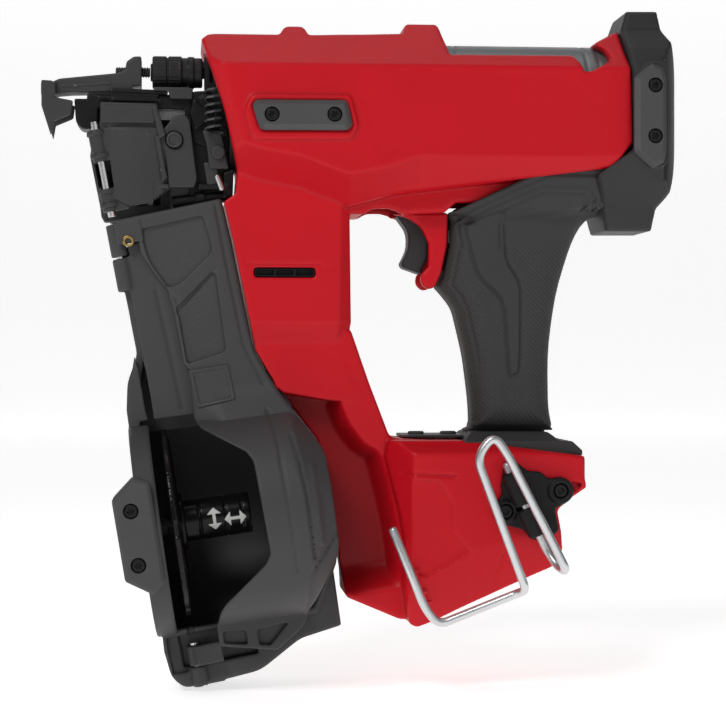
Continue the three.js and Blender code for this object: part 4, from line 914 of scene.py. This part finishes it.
sculpt("emblem_plate", emblem_plain, (-12, -14, 55), (11, -7, 77), 0.5, PLASTIC, "magazine_cover",
       frame_of=IN_CANISTER, mask={"dots": lambda u, y, w: (flat(u, w, EMBLEM) < -1.7).astype(float)})


def platform_field(u, y, w):
    radius = around(y, w, POST_W)
    angle = np.arctan2(w - POST_W, y)
    plate = both(radius - 46 + 0.8 * (np.cos(angle * 12) > 0.6), slab(u, -28.8, -25.8), 0.4)
    ridge = both(np.abs(radius - 40) - 1.2, slab(u, -27, -25.0), 0.4)
    return without(union(plate, ridge), radius - 10.3)


def post_field(u, y, w):
    radius = around(y, w, POST_W)
    sleeve = both(radius - 10, slab(u, -29.3, 9.4), 0.8)
    flange = both(radius - 14, slab(u, -25.5, -23), 0.5)
    grooves = union(*[both(np.abs(u - a) - 0.4, 9.5 - radius, 0.2) for a in (-15.5, -2.8, 5.4)])
    return without(without(union(sleeve, flange), grooves, 0.2), both(radius - 5.5, u - 7))


sculpt("nail_platform", platform_field, (-30, -47, -45), (-24, 47, 49), 0.9, GLOSSY, "nail_platform",
       frame_of=IN_CANISTER)
sculpt("platform_post", post_field, (-30, -15, -13), (10.5, 15, 17), 0.6, GLOSSY, "platform_post",
       frame_of=IN_CANISTER)


def arrow(name, u0, w0, upright):
    """A plain double arrow inlaid in the post's front."""
    def field(u, y, w):
        along, across = (w - w0, u - u0) if upright else (u - u0, w - w0)
        shaft = both(np.abs(along) - 3.2, np.abs(across) - 0.8, 0.1)
        tip = both(np.abs(along) * 0.8 + np.abs(across) * 0.7 - 4.4, 2.2 - np.abs(along), 0.1)
        shape = union(shaft, tip)
        radius = around(y, w, POST_W)
        return both(both(shape, slab(radius, 9.7, 10.15), 0.05), y, 0.1)
    sculpt(name, field, (u0 - 6, -11, w0 - 6), (u0 + 6, -5, w0 + 6), 0.35, WHITE, "platform_post",
           replaces=[], frame_of=IN_CANISTER)


arrow("post_arrow_turn", -8.6, 1.9, True)
arrow("post_arrow_slide", 1.6, 0.9, False)

MAGAZINE_PAD = [(-55, 20.6), (-43.8, 29.8), (-36.5, 26.6), (-35.6, -20.6), (-41.6, -26), (-54, -17.8)]
MAGAZINE_PAD_SCREWS = ((-46.8, 14.3), (-46.8, -11.2))
PAD_FACE = -54.5


def magazine_pad_field(u, y, w):
    pad = both(bevelled(flat(u, w, MAGAZINE_PAD, 1.2), -(y - PAD_FACE), 1.6), y + 33, 0.5)
    pad = without(pad, both(around(y, w, 0) - CANISTER_R - 0.4, slab(u, -44.4, -20)), 0.2)
    return countersunk(pad, u, y, w, PAD_FACE, MAGAZINE_PAD_SCREWS)


sculpt("magazine_pad", magazine_pad_field, (-56, -55, -28), (-34, -32, 31), 0.5, PAD, "housing",
       frame_of=IN_CANISTER)
for end, centre in zip(("upper", "lower"), MAGAZINE_PAD_SCREWS):
    screw("magazine_pad_screw_" + end, centre, PAD_FACE + 0.4, 3.0, 0.4, 3.6, frame_of=IN_CANISTER)


# ---------------------------------------------------------------- reservoir
def reservoir_field(x, y, z):
    radius = around(y, z, DRIVE_Z)
    shell = both(both(radius - RESERVOIR_R, slab(x, -45, 47), 1.5), radius * 0.5 - x * 0.85 - 47.5, 2)
    grooves = union(*[both(slab(x, a, a + 1.0), 35.0 - radius, 0.2) for a in (-30, 34, 40)])
    shell = without(shell, grooves, 0.3)
    return without(shell, both(radius - 24.3, slab(x, -90, 30)), 0.3)


sculpt("gas_reservoir", reservoir_field, (-46, -36, 71), (48, 36, 143), 1.0, GREY_METAL, "housing")


# ---------------------------------------------------------------- trigger, control pad and buttons
TRIGGER = [(-57.9, 56.6), (-52.4, 49.1, 3), (-51.9, 40.7, 5), (-55.9, 33), (-54.9, 31, 1), (-45.9, 27.8, 1),
           (-42.4, 35.8), (-41.9, 43.7), (-40, 56), (-40, 64, 2), (-50, 64, 2)]


def trigger_field(x, y, z):
    body = both(flat(x, z, TRIGGER, 0.8), np.abs(y) - 7.9, 2.0)
    return without(body, np.sqrt((x + 45.5) ** 2 + (z - 61) ** 2) - 1.8)


sculpt("trigger", trigger_field, (-59, -8.5, 27), (-39, 8.5, 65), 0.45, CAP_PLASTIC, "trigger")


BUTTONS = {"mode_button": -48.3, "power_button": -32.2}


def control_pad_field(x, y, z):
    pad = box(x, y, z, (-56, -16, -53.4), (-25.6, 16, -51.9), 0.5)
    return without(pad, union(*[np.sqrt((x - b) ** 2 + (y - BUTTON_Y) ** 2) - 4.4 for b in BUTTONS.values()]),
                   0.2)


def button(name, centre):
    def field(x, y, z):
        cap = rod(x, y, z, (centre, BUTTON_Y, -52.6), (centre, BUTTON_Y, -50.4), 4.0, 0.6)
        ring = np.sqrt((x - centre) ** 2 + (y - BUTTON_Y) ** 2)
        return without(cap, both(np.abs(ring - 2.6) - 0.3, -50.8 - z, 0.1), 0.15)
    sculpt(name, field, (centre - 4.5, -10.5, -53), (centre + 4.5, -1.5, -50), 0.35, PLASTIC, name)


sculpt("control_pad", control_pad_field, (-57, -17, -54), (-25, 17, -51.5), 0.5, PLASTIC, "housing")
for button_name, centre in BUTTONS.items():
    button(button_name, centre)


# ---------------------------------------------------------------- belt hook
HOOK_ROUTE = [(-8.4, -44.5, -65.6), (11.2, -44.5, -107.6), (16.4, -50, -115.5), (18.1, -60, -115.6),
              (-10.7, -62, -60), (-17.4, -62, -50.5), (-25.6, -62, -61), (-1.6, -60, -124.4),
              (-4.3, -53, -126.5), (-42.5, -52, -141.5), (-49, -52, -133.5), (-64.4, -52, -95.9)]
HOOK_SCREWS = ((18.3, -78.3), (-8.6, -88.2))
BRACKET = [(-9, -64.1, 1), (-2.9, -64.6, 1), (2.3, -68.9, 2), (8.4, -68.9, 2), (12, -72.4, 2), (19.8, -72, 3),
           (23.7, -75.9, 3), (23.7, -81.1, 3), (19.8, -85.4, 3), (15.4, -86.7, 2), (17.6, -97.5, 1),
           (11, -103.4, 2), (3.6, -101.7, 2), (0.6, -97.3, 2), (-9, -94.7, 2), (-14, -90, 3), (-13, -84, 3),
           (-9.9, -80, 2), (-10.7, -75.7)]


def wire_path(corners, bend, steps):
    """The points of straight runs of wire joined by rounded bends."""
    corners = [np.array(c, float) for c in corners]
    path = [corners[0]]
    for before, here, after in zip(corners, corners[1:], corners[2:]):
        back, on = before - here, after - here
        radius = min(bend, np.linalg.norm(back) / 2.1, np.linalg.norm(on) / 2.1)
        start = here + back / np.linalg.norm(back) * radius
        end = here + on / np.linalg.norm(on) * radius
        for t in np.linspace(0, 1, steps):
            path.append((1 - t) ** 2 * start + 2 * t * (1 - t) * here + t * t * end)
    path.append(corners[-1])
    return path


def wire(name, path, radius, sides, material, body, replaces=()):
    """A round wire with domed ends along a path."""
    points, faces = [], []
    across = np.array((0.0, 1.0, 0.0))
    first = (path[1] - path[0]) / np.linalg.norm(path[1] - path[0])
    final = (path[-1] - path[-2]) / np.linalg.norm(path[-1] - path[-2])
    stations = [(path[0] + first * radius * s, r) for s, r in ((-0.6, 0.35), (-0.45, 0.75), (-0.1, 1.0))]
    stations += [(p, 1.0) for p in path[1:-1]]
    stations += [(path[-1] + final * radius * s, r) for s, r in ((0.1, 1.0), (0.45, 0.75), (0.6, 0.35))]
    centres = np.array([s[0] for s in stations])
    for i, (centre, scale) in enumerate(stations):
        way = centres[min(i + 1, len(centres) - 1)] - centres[max(i - 1, 0)]
        way /= np.linalg.norm(way)
        across = across - way * across.dot(way)
        across /= np.linalg.norm(across)
        up = np.cross(way, across)
        for k in range(sides):
            angle = 2 * math.pi * k / sides
            points.append(centre + radius * scale * (math.cos(angle) * across + math.sin(angle) * up))
    for i in range(len(stations) - 1):
        for k in range(sides):
            j = (k + 1) % sides
            faces.append((i * sides + k, i * sides + j, (i + 1) * sides + j, (i + 1) * sides + k))
    last = (len(stations) - 1) * sides
    for k in range(0, sides // 2 - 1):
        faces.append((sides - 1 - k, sides - 2 - k, k + 1, k))
        faces.append((last + k, last + k + 1, last + sides - 2 - k, last + sides - 1 - k))
    return made(name, np.array(points), faces, material, body, replaces)


wire("belt_hook", wire_path(HOOK_ROUTE, 8, 10), WIRE_R, 20, ZINC, "belt_hook", ["belt_hook"])


def bracket_field(x, y, z):
    plate = both(flat(x, z, BRACKET), slab(y, -42, -38.35), 0.8)
    tube = union(
        rod(x, y, z, (-6.8, -44.5, -69.0), (0.4, -44.5, -84.4), 5.0, 1.0),
        rod(x, y, z, (1.2, -44.5, -86.2), (7.4, -44.5, -99.4), 5.0, 1.0),
    )
    bosses = union(
        rod(x, y, z, (18.3, -43.4, -78.3), (18.3, -38.4, -78.3), 6.3, 1.0),
        rod(x, y, z, (-8.6, -43.4, -88.2), (-8.6, -38.4, -88.2), 5.4, 1.0),
    )
    whole = either(either(plate, both(tube, y + 38.35, 0.2), 1.2), bosses, 1.0)
    whole = without(whole, rod(x, y, z, (-12, -44.5, -57.9), (13, -44.5, -111.5), 2.5, 0.1), 0.2)
    for sx, sz in HOOK_SCREWS:
        whole = without(whole, rod(x, y, z, (sx, -50, sz), (sx, -41, sz), 3.7, 0.2), 0.3)
    return both(whole, y + 38.32, 0.1)


sculpt("hook_bracket", bracket_field, (-16, -50, -106), (26, -38, -62), 0.5, INNER_PLASTIC, "housing")
for end, centre in zip(("rear", "front"), HOOK_SCREWS):
    screw("hook_screw_" + end, centre, -43.2, 2.1, 0.4, 2.4, hexagon_recess, 0.5, 0.15)


# ---------------------------------------------------------------- nose
def nosepiece_field(x, y, z):
    radius = around(y, z, DRIVE_Z)
    flange = both(radius - 29.5, slab(x, -141.5, -134), 0.8)
    neck = both(flat(x, z, [(-160, 117), (-160, 92), (-148, 88), (-137, 86), (-137, 119), (-146, 119)], 1.5),
                slab(y, -11, 13), 1.2)
    muzzle = box(x, y, z, (-211, -9, 98.5), (-158, 9, 115.8), 1.0)
    tip = side(x, y, z,
               [(-217.2, 113.3, 1), (-209, 113.4), (-209, 98.6), (-213.5, 98.2, 2), (-216.4, 101.5, 2)], -9,
               9)
    body = box(x, y, z, (-208.2, -9, 96), (-158, 12, 108), 1.0)
    whole = union(flange, neck, muzzle, tip, body)
    steps = union(box(x, y, z, (-206, -10, 112.6), (-184, 10, 114.8), 0.5),
                  box(x, y, z, (-200, -10.4, 109.6), (-176, -8.6, 117.6), 0.4),
                  rod(x, y, z, (-199.4, -10, 117.4), (-171.4, -10, 116.5), 1.2, 0.4),
                  rod(x, y, z, (-198.7, -10, 112.8), (-174.9, -10, 112.6), 1.1, 0.4),
                  rod(x, y, z, (-153, -13, 112), (-153, -9, 112), 3.2, 0.5),
                  rod(x, y, z, (-144.5, -14, 97), (-144.5, -9, 97), 2.6, 0.5))
    whole = union(whole, steps)
    channel = box(x, y, z, (-230, -5.6, 102.5), (-130, 5.6, 112), 0.3)
    loading = box(x, y, z, (-205.5, -20, 90), (-163, 2.6, 108.6), 0.3)
    path = box(x, y, z, (-170, -10.5, 117.4), (-120, 10.5, 145), 0.3)
    return without(without(without(whole, channel), loading, 0.2), path)


def feed_housing_field(x, y, z):
    plate = side(x, y, z,
                 [(-208.4, 98.5, 1), (-161, 95), (-158, 84), (-155.5, 56), (-203.3, 53.5, 1), (-206, 66),
                           (-210.0, 86, 1)], 3, 13, 0.6)
    wall = side(x, y, z, [(-172, 96, 1), (-160.5, 96, 1), (-156.0, 60, 1), (-170, 60, 1)], -7.6, 4, 0.6)
    cylinder = rod(x, y, z, (-181, 17, 58), (-181, 17, 93), 7.5, 1.0)
    edge = side(x, y, z, [(-209.4, 97, 1), (-206.6, 97), (-201, 55), (-204.2, 55, 1)], 1.5, 14, 0.5)
    a, b, c, ring = in_hinge(x, y, z)
    lug = union(both(ring - HINGE_R, slab(c, 27, 40), 0.6), box(a, b, c, (-4, 3, 27), (1, 18, 40), 0.6))
    whole = union(plate, wall, cylinder, edge, lug)
    slot = box(x, y, z, (-187, -30, 62), (-175, 20, 90), 0.4)
    bores = union(ring - (PIN_R + 0.3), np.sqrt((x + 181) ** 2 + (y - 17) ** 2) - 4.5)
    door_room = side(x, y, z, [(-204, 112), (-160, 108), (-172, 56), (-204, 56)], -30, -10.8, 0.3)
    return without(without(without(whole, slot, 0.2), bores), door_room)


DOOR = [(-204.2, 110.9, 1), (-176.9, 110.4, 1), (-174.6, 99), (-172.6, 94.5), (-169.0, 72, 1),
        (-170, 68.9, 1), (-180, 62.0), (-191, 60.3, 1), (-199.2, 64.4), (-201.9, 92.3), (-204.7, 96.2)]


def door_field(x, y, z):
    swell = 3.4 * np.sqrt(np.clip(1 - ((x + 187) / 14.5) ** 2, 0, 1)) * ramp(z, 100.2, 98)
    front = -15.2 - swell - 1.3 * ramp(z, 98.8, 101)
    plate = both(flat(x, z, DOOR), both(front - y, y + 12.0, 0.4), 0.9)
    plate = union(plate,
                  side(x, y, z, [(-204, 109.2, 1), (-178, 109.2, 1), (-178, 100.6, 1), (-204, 100.6, 1)],
                              -17.7, -13, 0.7))
    latch = side(x, y, z, [(-174, 97, 1), (-168.5, 104.5, 2), (-162.3, 105.1, 2), (-160.6, 101.6, 1),
                           (-157.2, 73.6, 1),
                           (-158.6, 69.4, 1), (-171, 69.3, 1)], -16.6, -12.4, 0.8)
    strap = side(x, y, z, [(-179.3, 108.3, 1), (-176.9, 109.7, 1), (-172.4, 94.6, 1), (-175.5, 92.9, 1)],
                 -18.9, -14, 0.8)
    rib = side(x, y, z, [(-177.9, 94.5, 1), (-175.4, 94.5, 1), (-171.6, 73.6, 1), (-174, 72, 1)], -19.0, -14,
               0.8)
    low = union(box(x, y, z, (-188.8, -18.4, 61.5), (-187.0, -14, 70.5), 0.5),
                box(x, y, z, (-180.0, -18.2, 62.2), (-178.4, -14, 71), 0.5),
                box(x, y, z, (-189, -17.6, 68.8), (-171, -14, 71.0), 0.6),
                box(x, y, z, (-196, -18.6, 94.8), (-180, -14, 97), 0.6))
    whole = union(plate, latch, strap, rib, low)
    a, b, c, ring = in_hinge(x, y, z)
    for bottom, top in ((15.5, 26.7), (40.3, 56)):
        whole = union(whole, both(ring - HINGE_R, slab(c, bottom, top), 0.6),
                      box(a, b, c, (0, -2.8, bottom), (9, 2.2, top), 0.5))
    rings = union(*[both(ring - HINGE_R - 0.9, slab(c, at, at + 2.2), 0.4)
                    for at in (17.5, 24.2, 42.0, 53.2)])
    whole = union(whole, rings)
    room = union(both(ring - 5, slab(c, 26.7, 40.3)), box(a, b, c, (-6, -6, 26.7), (1, 6, 40.3), 0.1),
                 box(a, b, c, (-20, -6, -10), (-HINGE_R - 1.0, 6, 90), 0.1), ring - (PIN_R + 0.3))
    hole = np.sqrt((x - LATCH_X) ** 2 + (z - LATCH_Z) ** 2) - 4.4
    return without(without(whole, room), hole, 0.3)


def latch_field(x, y, z):
    button_cap = rod(x, y, z, (LATCH_X, -18.6, LATCH_Z), (LATCH_X, -11.9, LATCH_Z), 4.0, 0.8)
    ring = np.sqrt((x - LATCH_X) ** 2 + (z - LATCH_Z) ** 2)
    button_cap = without(button_cap, both(ring - 2.6, y + 18.0, 0.2), 0.3)
    return union(button_cap, rod(x, y, z, (LATCH_X, -12.2, LATCH_Z), (LATCH_X, -9.6, LATCH_Z), 2.2, 0.3))


def yoke_field(x, y, z):
    body = box(x, y, z, (-153.5, -8.5, 118.2), (-139, 8.5, 135), 1.2)
    window = box(x, y, z, (-150.5, -12, 122), (-146, -6.6, 131), 0.8)
    return without(without(body, window, 0.3), around(y, z, KNOB_Z) - 3.4)


ARM = [(-232.6, 122, 1), (-227.7, 121.7), (-224.6, 123.2, 1), (-196.6, 126.2, 2), (-192.4, 127.8),
       (-191.7, 132, 1), (-188.2, 134.5, 1), (-184.4, 134.6, 1), (-184.4, 120.2), (-188.6, 119.8),
       (-188.9, 117.2), (-218, 116.6, 1), (-227, 115.8), (-232.6, 115.8)]
CLAW = [(-233.0, 122), (-233.0, 109.4), (-228.4, 94.8, 0.5), (-227.2, 101.7), (-218.5, 105.4, 1),
        (-217.6, 112, 1), (-226.6, 113.6), (-227.8, 121.7)]


def arm_field(x, y, z):
    across = np.abs(y)
    arm = both(flat(x, z, ARM), across - 8, 0.8)
    claw = both(flat(x, z, CLAW), slab(across, 9.5, 12.0), 0.6)
    bridge = box(x, across, z, (-233.2, -1, 114.6), (-226, 12, 121.2), 0.8)
    rib = box(x, across, z, (-224, -1, 120), (-206, 1.4, 125.6), 0.6)
    side_rib = both(line(x, z, [(-222, 119.6), (-200, 121.2)]) - 0.7, across - 8.6, 0.3)
    whole = union(either(arm, bridge, 1.0), claw, both(rib, flat(x, z, ARM) - 0.8, 0.3), side_rib)
    path = box(x, y, z, (-240, -6.5, 101), (-225, 6.5, 114), 0.3)
    return without(without(whole, path), both(around(y, z, KNOB_Z) - 2.9, slab(x, -200, -170)))


def screw_field(x, y, z):
    angle = np.arctan2(z - KNOB_Z, y)
    radius = around(y, z, KNOB_Z)
    thread = 0.28 * np.cos(x * 2 * math.pi / 1.25 - angle)
    return both(radius - 2.35 + thread, slab(x, -197.2, -180.2), 0.5)


def knob_field(x, y, z):
    angle = np.arctan2(z - KNOB_Z, y)
    radius = around(y, z, KNOB_Z)
    knurl = 0.35 * np.abs(np.cos(14 * angle)) * ramp(-x, 165.2, 166.2)
    grip_part = both(radius - 8.2 + knurl, slab(x, -179.1, -164.4), 1.0)
    collar = both(radius - 7.4, slab(x, -165.4, -154.4), 0.8)
    ring = both(radius - 8.0, slab(x, -161.6, -158.6), 0.4)
    groove = both(np.abs(x + 171.6) - 0.5, 7.4 - radius, 0.2)
    whole = union(grip_part, collar, ring, both(radius - 2.9, slab(x, -158, -139.8), 0.4),
                  both(radius - 4.4, slab(x, -180, -178), 0.4))
    return without(whole, groove, 0.3)


sculpt("nosepiece", nosepiece_field, (-218, -30, 77), (-133, 30, 138), 0.62, CAST_DARK, "housing")
sculpt("feed_housing", feed_housing_field, (-211, -12, 53), (-154, 25, 99), 0.55, CAST, "housing")
sculpt("nose_door", door_field, (-210, -21, 54), (-156, -9, 112), 0.42, CAST, "nose_door")
sculpt("latch_button", latch_field, (-173, -19.5, 88), (-164, -9, 97.5), 0.3, CAST, "latch_button")
sculpt("contact_yoke", yoke_field, (-154, -9, 117.5), (-138, 9, 136), 0.5, CAST_DARK, "contact_yoke")
sculpt("contact_arm", arm_field, (-234, -13, 95), (-183, 13, 136), 0.5, CAST, "contact_arm")
sculpt("depth_screw", screw_field, (-198, -3.5, 124), (-180, 3.5, 131), 0.28, CAST, "depth_knob")
sculpt("depth_knob", knob_field, (-181, -9, 118), (-139, 9, 137), 0.42, KNURLED, "depth_knob")


# Small cast and pressed parts packed round the nose, all fixed to the housing.
def trip_lever(x, y, z):
    plate = side(x, y, z,
                 [(-154.6, 97.7, 1), (-145.4, 97.7, 2), (-141.6, 78.8, 1), (-151.1, 78.7, 1), (-152.5, 90.7)],
                 -15.5, -12.2, 0.7)
    foot = side(x, y, z, [(-154, 82, 1), (-147, 82, 1), (-147, 72, 1), (-152, 70, 1)], -14, -10, 0.6)
    return union(plate, foot, rod(x, y, z, (-146.8, -17.5, 86.7), (-146.8, -12, 86.7), 3.4, 0.7))


def side_blocks(x, y, z):
    return union(
        side(x, y, z, [(-144.3, 76.9, 1), (-139.2, 79, 1), (-139.6, 65.6, 1), (-144.3, 64.5, 1)], -14, 10,
             0.7),
        side(x, y, z, [(-158.7, 113.3, 1), (-148.1, 105.4, 1), (-158, 97.8, 1), (-160.8, 106, 1)], -13.5, -8,
             0.7),
        side(x, y, z, [(-155.2, 135), (-141.5, 134), (-139.5, 119), (-150.9, 118.8)], 9.0, 13, 0.7),
        box(x, y, z, (-161, -10, 64), (-141, 12, 96), 1.0),
        box(x, y, z, (-152, -12.6, 99), (-142, -9, 116.6), 0.8),
        rod(x, y, z, (-147, -14.2, 104), (-147, -11, 104), 2.4, 0.4),
        rod(x, y, z, (-156.5, -12.5, 70), (-141, -12.5, 70), 2.0, 0.6),
    )


def knob_bracket(x, y, z):
    return side(x, y, z, [(-178.4, 119.0, 1), (-166.1, 119.0, 1), (-159.1, 118.6, 1), (-159.4, 113.2, 1),
                          (-170.3, 113.4, 1), (-171.2, 117.0), (-178.4, 117.2, 1)], -12.5, -9.4, 0.6)


def low_cylinder(x, y, z):
    shaft = rod(x, y, z, (-169.5, -8.2, 62.4), (-142, -8.2, 66.4), 3.0, 0.6)
    return union(shaft, rod(x, y, z, (-158, -8.2, 64.0), (-153, -8.2, 64.8), 4.0, 0.5))


def placed(name, field, low, high, step, material, body="housing"):
    sculpt(name, field, low, high, step, material, body, replaces=[])


placed("nose_trip_lever", trip_lever, (-155.5, -18.5, 69), (-140.5, -9, 99), 0.5, CAST)
placed("nose_side_blocks", side_blocks, (-162, -15, 63), (-138, 14, 136), 0.6, CAST_DARK)
placed("nose_knob_bracket", knob_bracket, (-180, -13.5, 112), (-158, -8.5, 121), 0.45, CAST)
placed("nose_low_cylinder", low_cylinder, (-171, -13, 58), (-141, -3, 71), 0.5, CAST_DARK)
placed("nose_steel_pin", lambda x, y, z: rod(x, y, z, (-147.6, -15.2, 75.8), (-144.6, -15.2, 68.1), 1.5, 0.5),
       (-150, -17.5, 66), (-142.5, -13, 78), 0.32, STEEL)


# ---------------------------------------------------------------- inner CAD pieces that keep their own meshes
INNER = {
    "drive_cylinder": ALUMINIUM, "bumper": DARK_RUBBER, "piston": ALUMINIUM, "piston_seal": DARK_RUBBER,
    "driver_blade": STEEL, "lifter_wheel": STEEL, "gearbox_case": GREY_METAL, "motor_can": CAST_DARK,
    "motor_rotor": COPPER, "feed_pawl": STEEL, "control_board": BOARD, "terminal_block": PLASTIC,
    "trigger_pin": STEEL, "trigger_switch": PLASTIC, "contact_spring": CAST_DARK, "nose_hinge_pin": STEEL,
    "cover_pin_upper": STEEL, "cover_pin_lower": STEEL,
}
for name, material in INNER.items():
    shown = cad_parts[name]
    shown.data.materials.clear()
    shown.data.materials.append(material)


# ---------------------------------------------------------------- floor, light and camera
def stage_material():
    material = bpy.data.materials.new("paper_sweep")
    material.use_nodes = True
    shader = material.node_tree.nodes["Principled BSDF"]
    shader.inputs["Base Color"].default_value = (0.80, 0.80, 0.80, 1)
    shader.inputs["Roughness"].default_value = 0.9
    shader.inputs["Emission Color"].default_value = (1, 1, 1, 1)
    shader.inputs["Emission Strength"].default_value = 0.68
    return material


def build_stage():
    low = CAD_BOX[0][2] - 0.0015
    profile = [(-4.0, low)]
    radius, back = 1.6, 4.0
    for i in range(25):
        angle = math.pi / 2 * i / 24
        profile.append((back + radius * math.sin(angle), low + radius * (1 - math.cos(angle))))
    profile.append((back + radius, low + 5.0))
    points = [(side_x, y, z) for y, z in profile for side_x in (-5.0, 5.0)]
    faces = [(2 * i, 2 * i + 1, 2 * i + 3, 2 * i + 2) for i in range(len(profile) - 1)]
    mesh = bpy.data.meshes.new("paper_sweep")
    mesh.from_pydata(points, [], faces)
    mesh.polygons.foreach_set("use_smooth", [True] * len(faces))
    mesh.materials.append(stage_material())
    sweep_object = bpy.data.objects.new("paper_sweep", mesh)
    bpy.context.scene.collection.objects.link(sweep_object)


def area_light(name, place, aim, size, power):
    lamp = bpy.data.lights.new(name, "AREA")
    lamp.shape = "DISK"
    lamp.size = size
    lamp.energy = power
    holder = bpy.data.objects.new(name, lamp)
    holder.location = place
    holder.rotation_euler = (Vector(aim) - Vector(place)).to_track_quat("-Z", "Y").to_euler()
    bpy.context.scene.collection.objects.link(holder)


def build_world():
    world = bpy.data.worlds.new("studio")
    world.use_nodes = True
    background = world.node_tree.nodes["Background"]
    background.inputs["Color"].default_value = (1, 1, 1, 1)
    background.inputs["Strength"].default_value = 0.10
    bpy.context.scene.world = world


def build_camera():
    lens = bpy.data.cameras.new("camera")
    lens.lens = 105
    lens.sensor_width = 36
    holder = bpy.data.objects.new("camera", lens)
    place, aim = Vector((-0.1666, -1.056, -0.0145)), Vector((-0.0742, 0, -0.0145))
    holder.location = place
    holder.rotation_euler = (aim - place).to_track_quat("-Z", "Y").to_euler()
    bpy.context.scene.collection.objects.link(holder)
    bpy.context.scene.camera = holder


build_stage()
build_world()
area_light("key", (-0.9, -1.3, 1.3), (-0.08, 0, 0), 0.7, 17)
area_light("fill", (1.0, -1.5, 0.5), (-0.08, 0, 0), 1.2, 2.6)
area_light("top", (-0.1, 0.2, 1.4), (-0.08, 0, 0), 1.0, 3)
build_camera()
bpy.context.scene.view_settings.view_transform = "Standard"
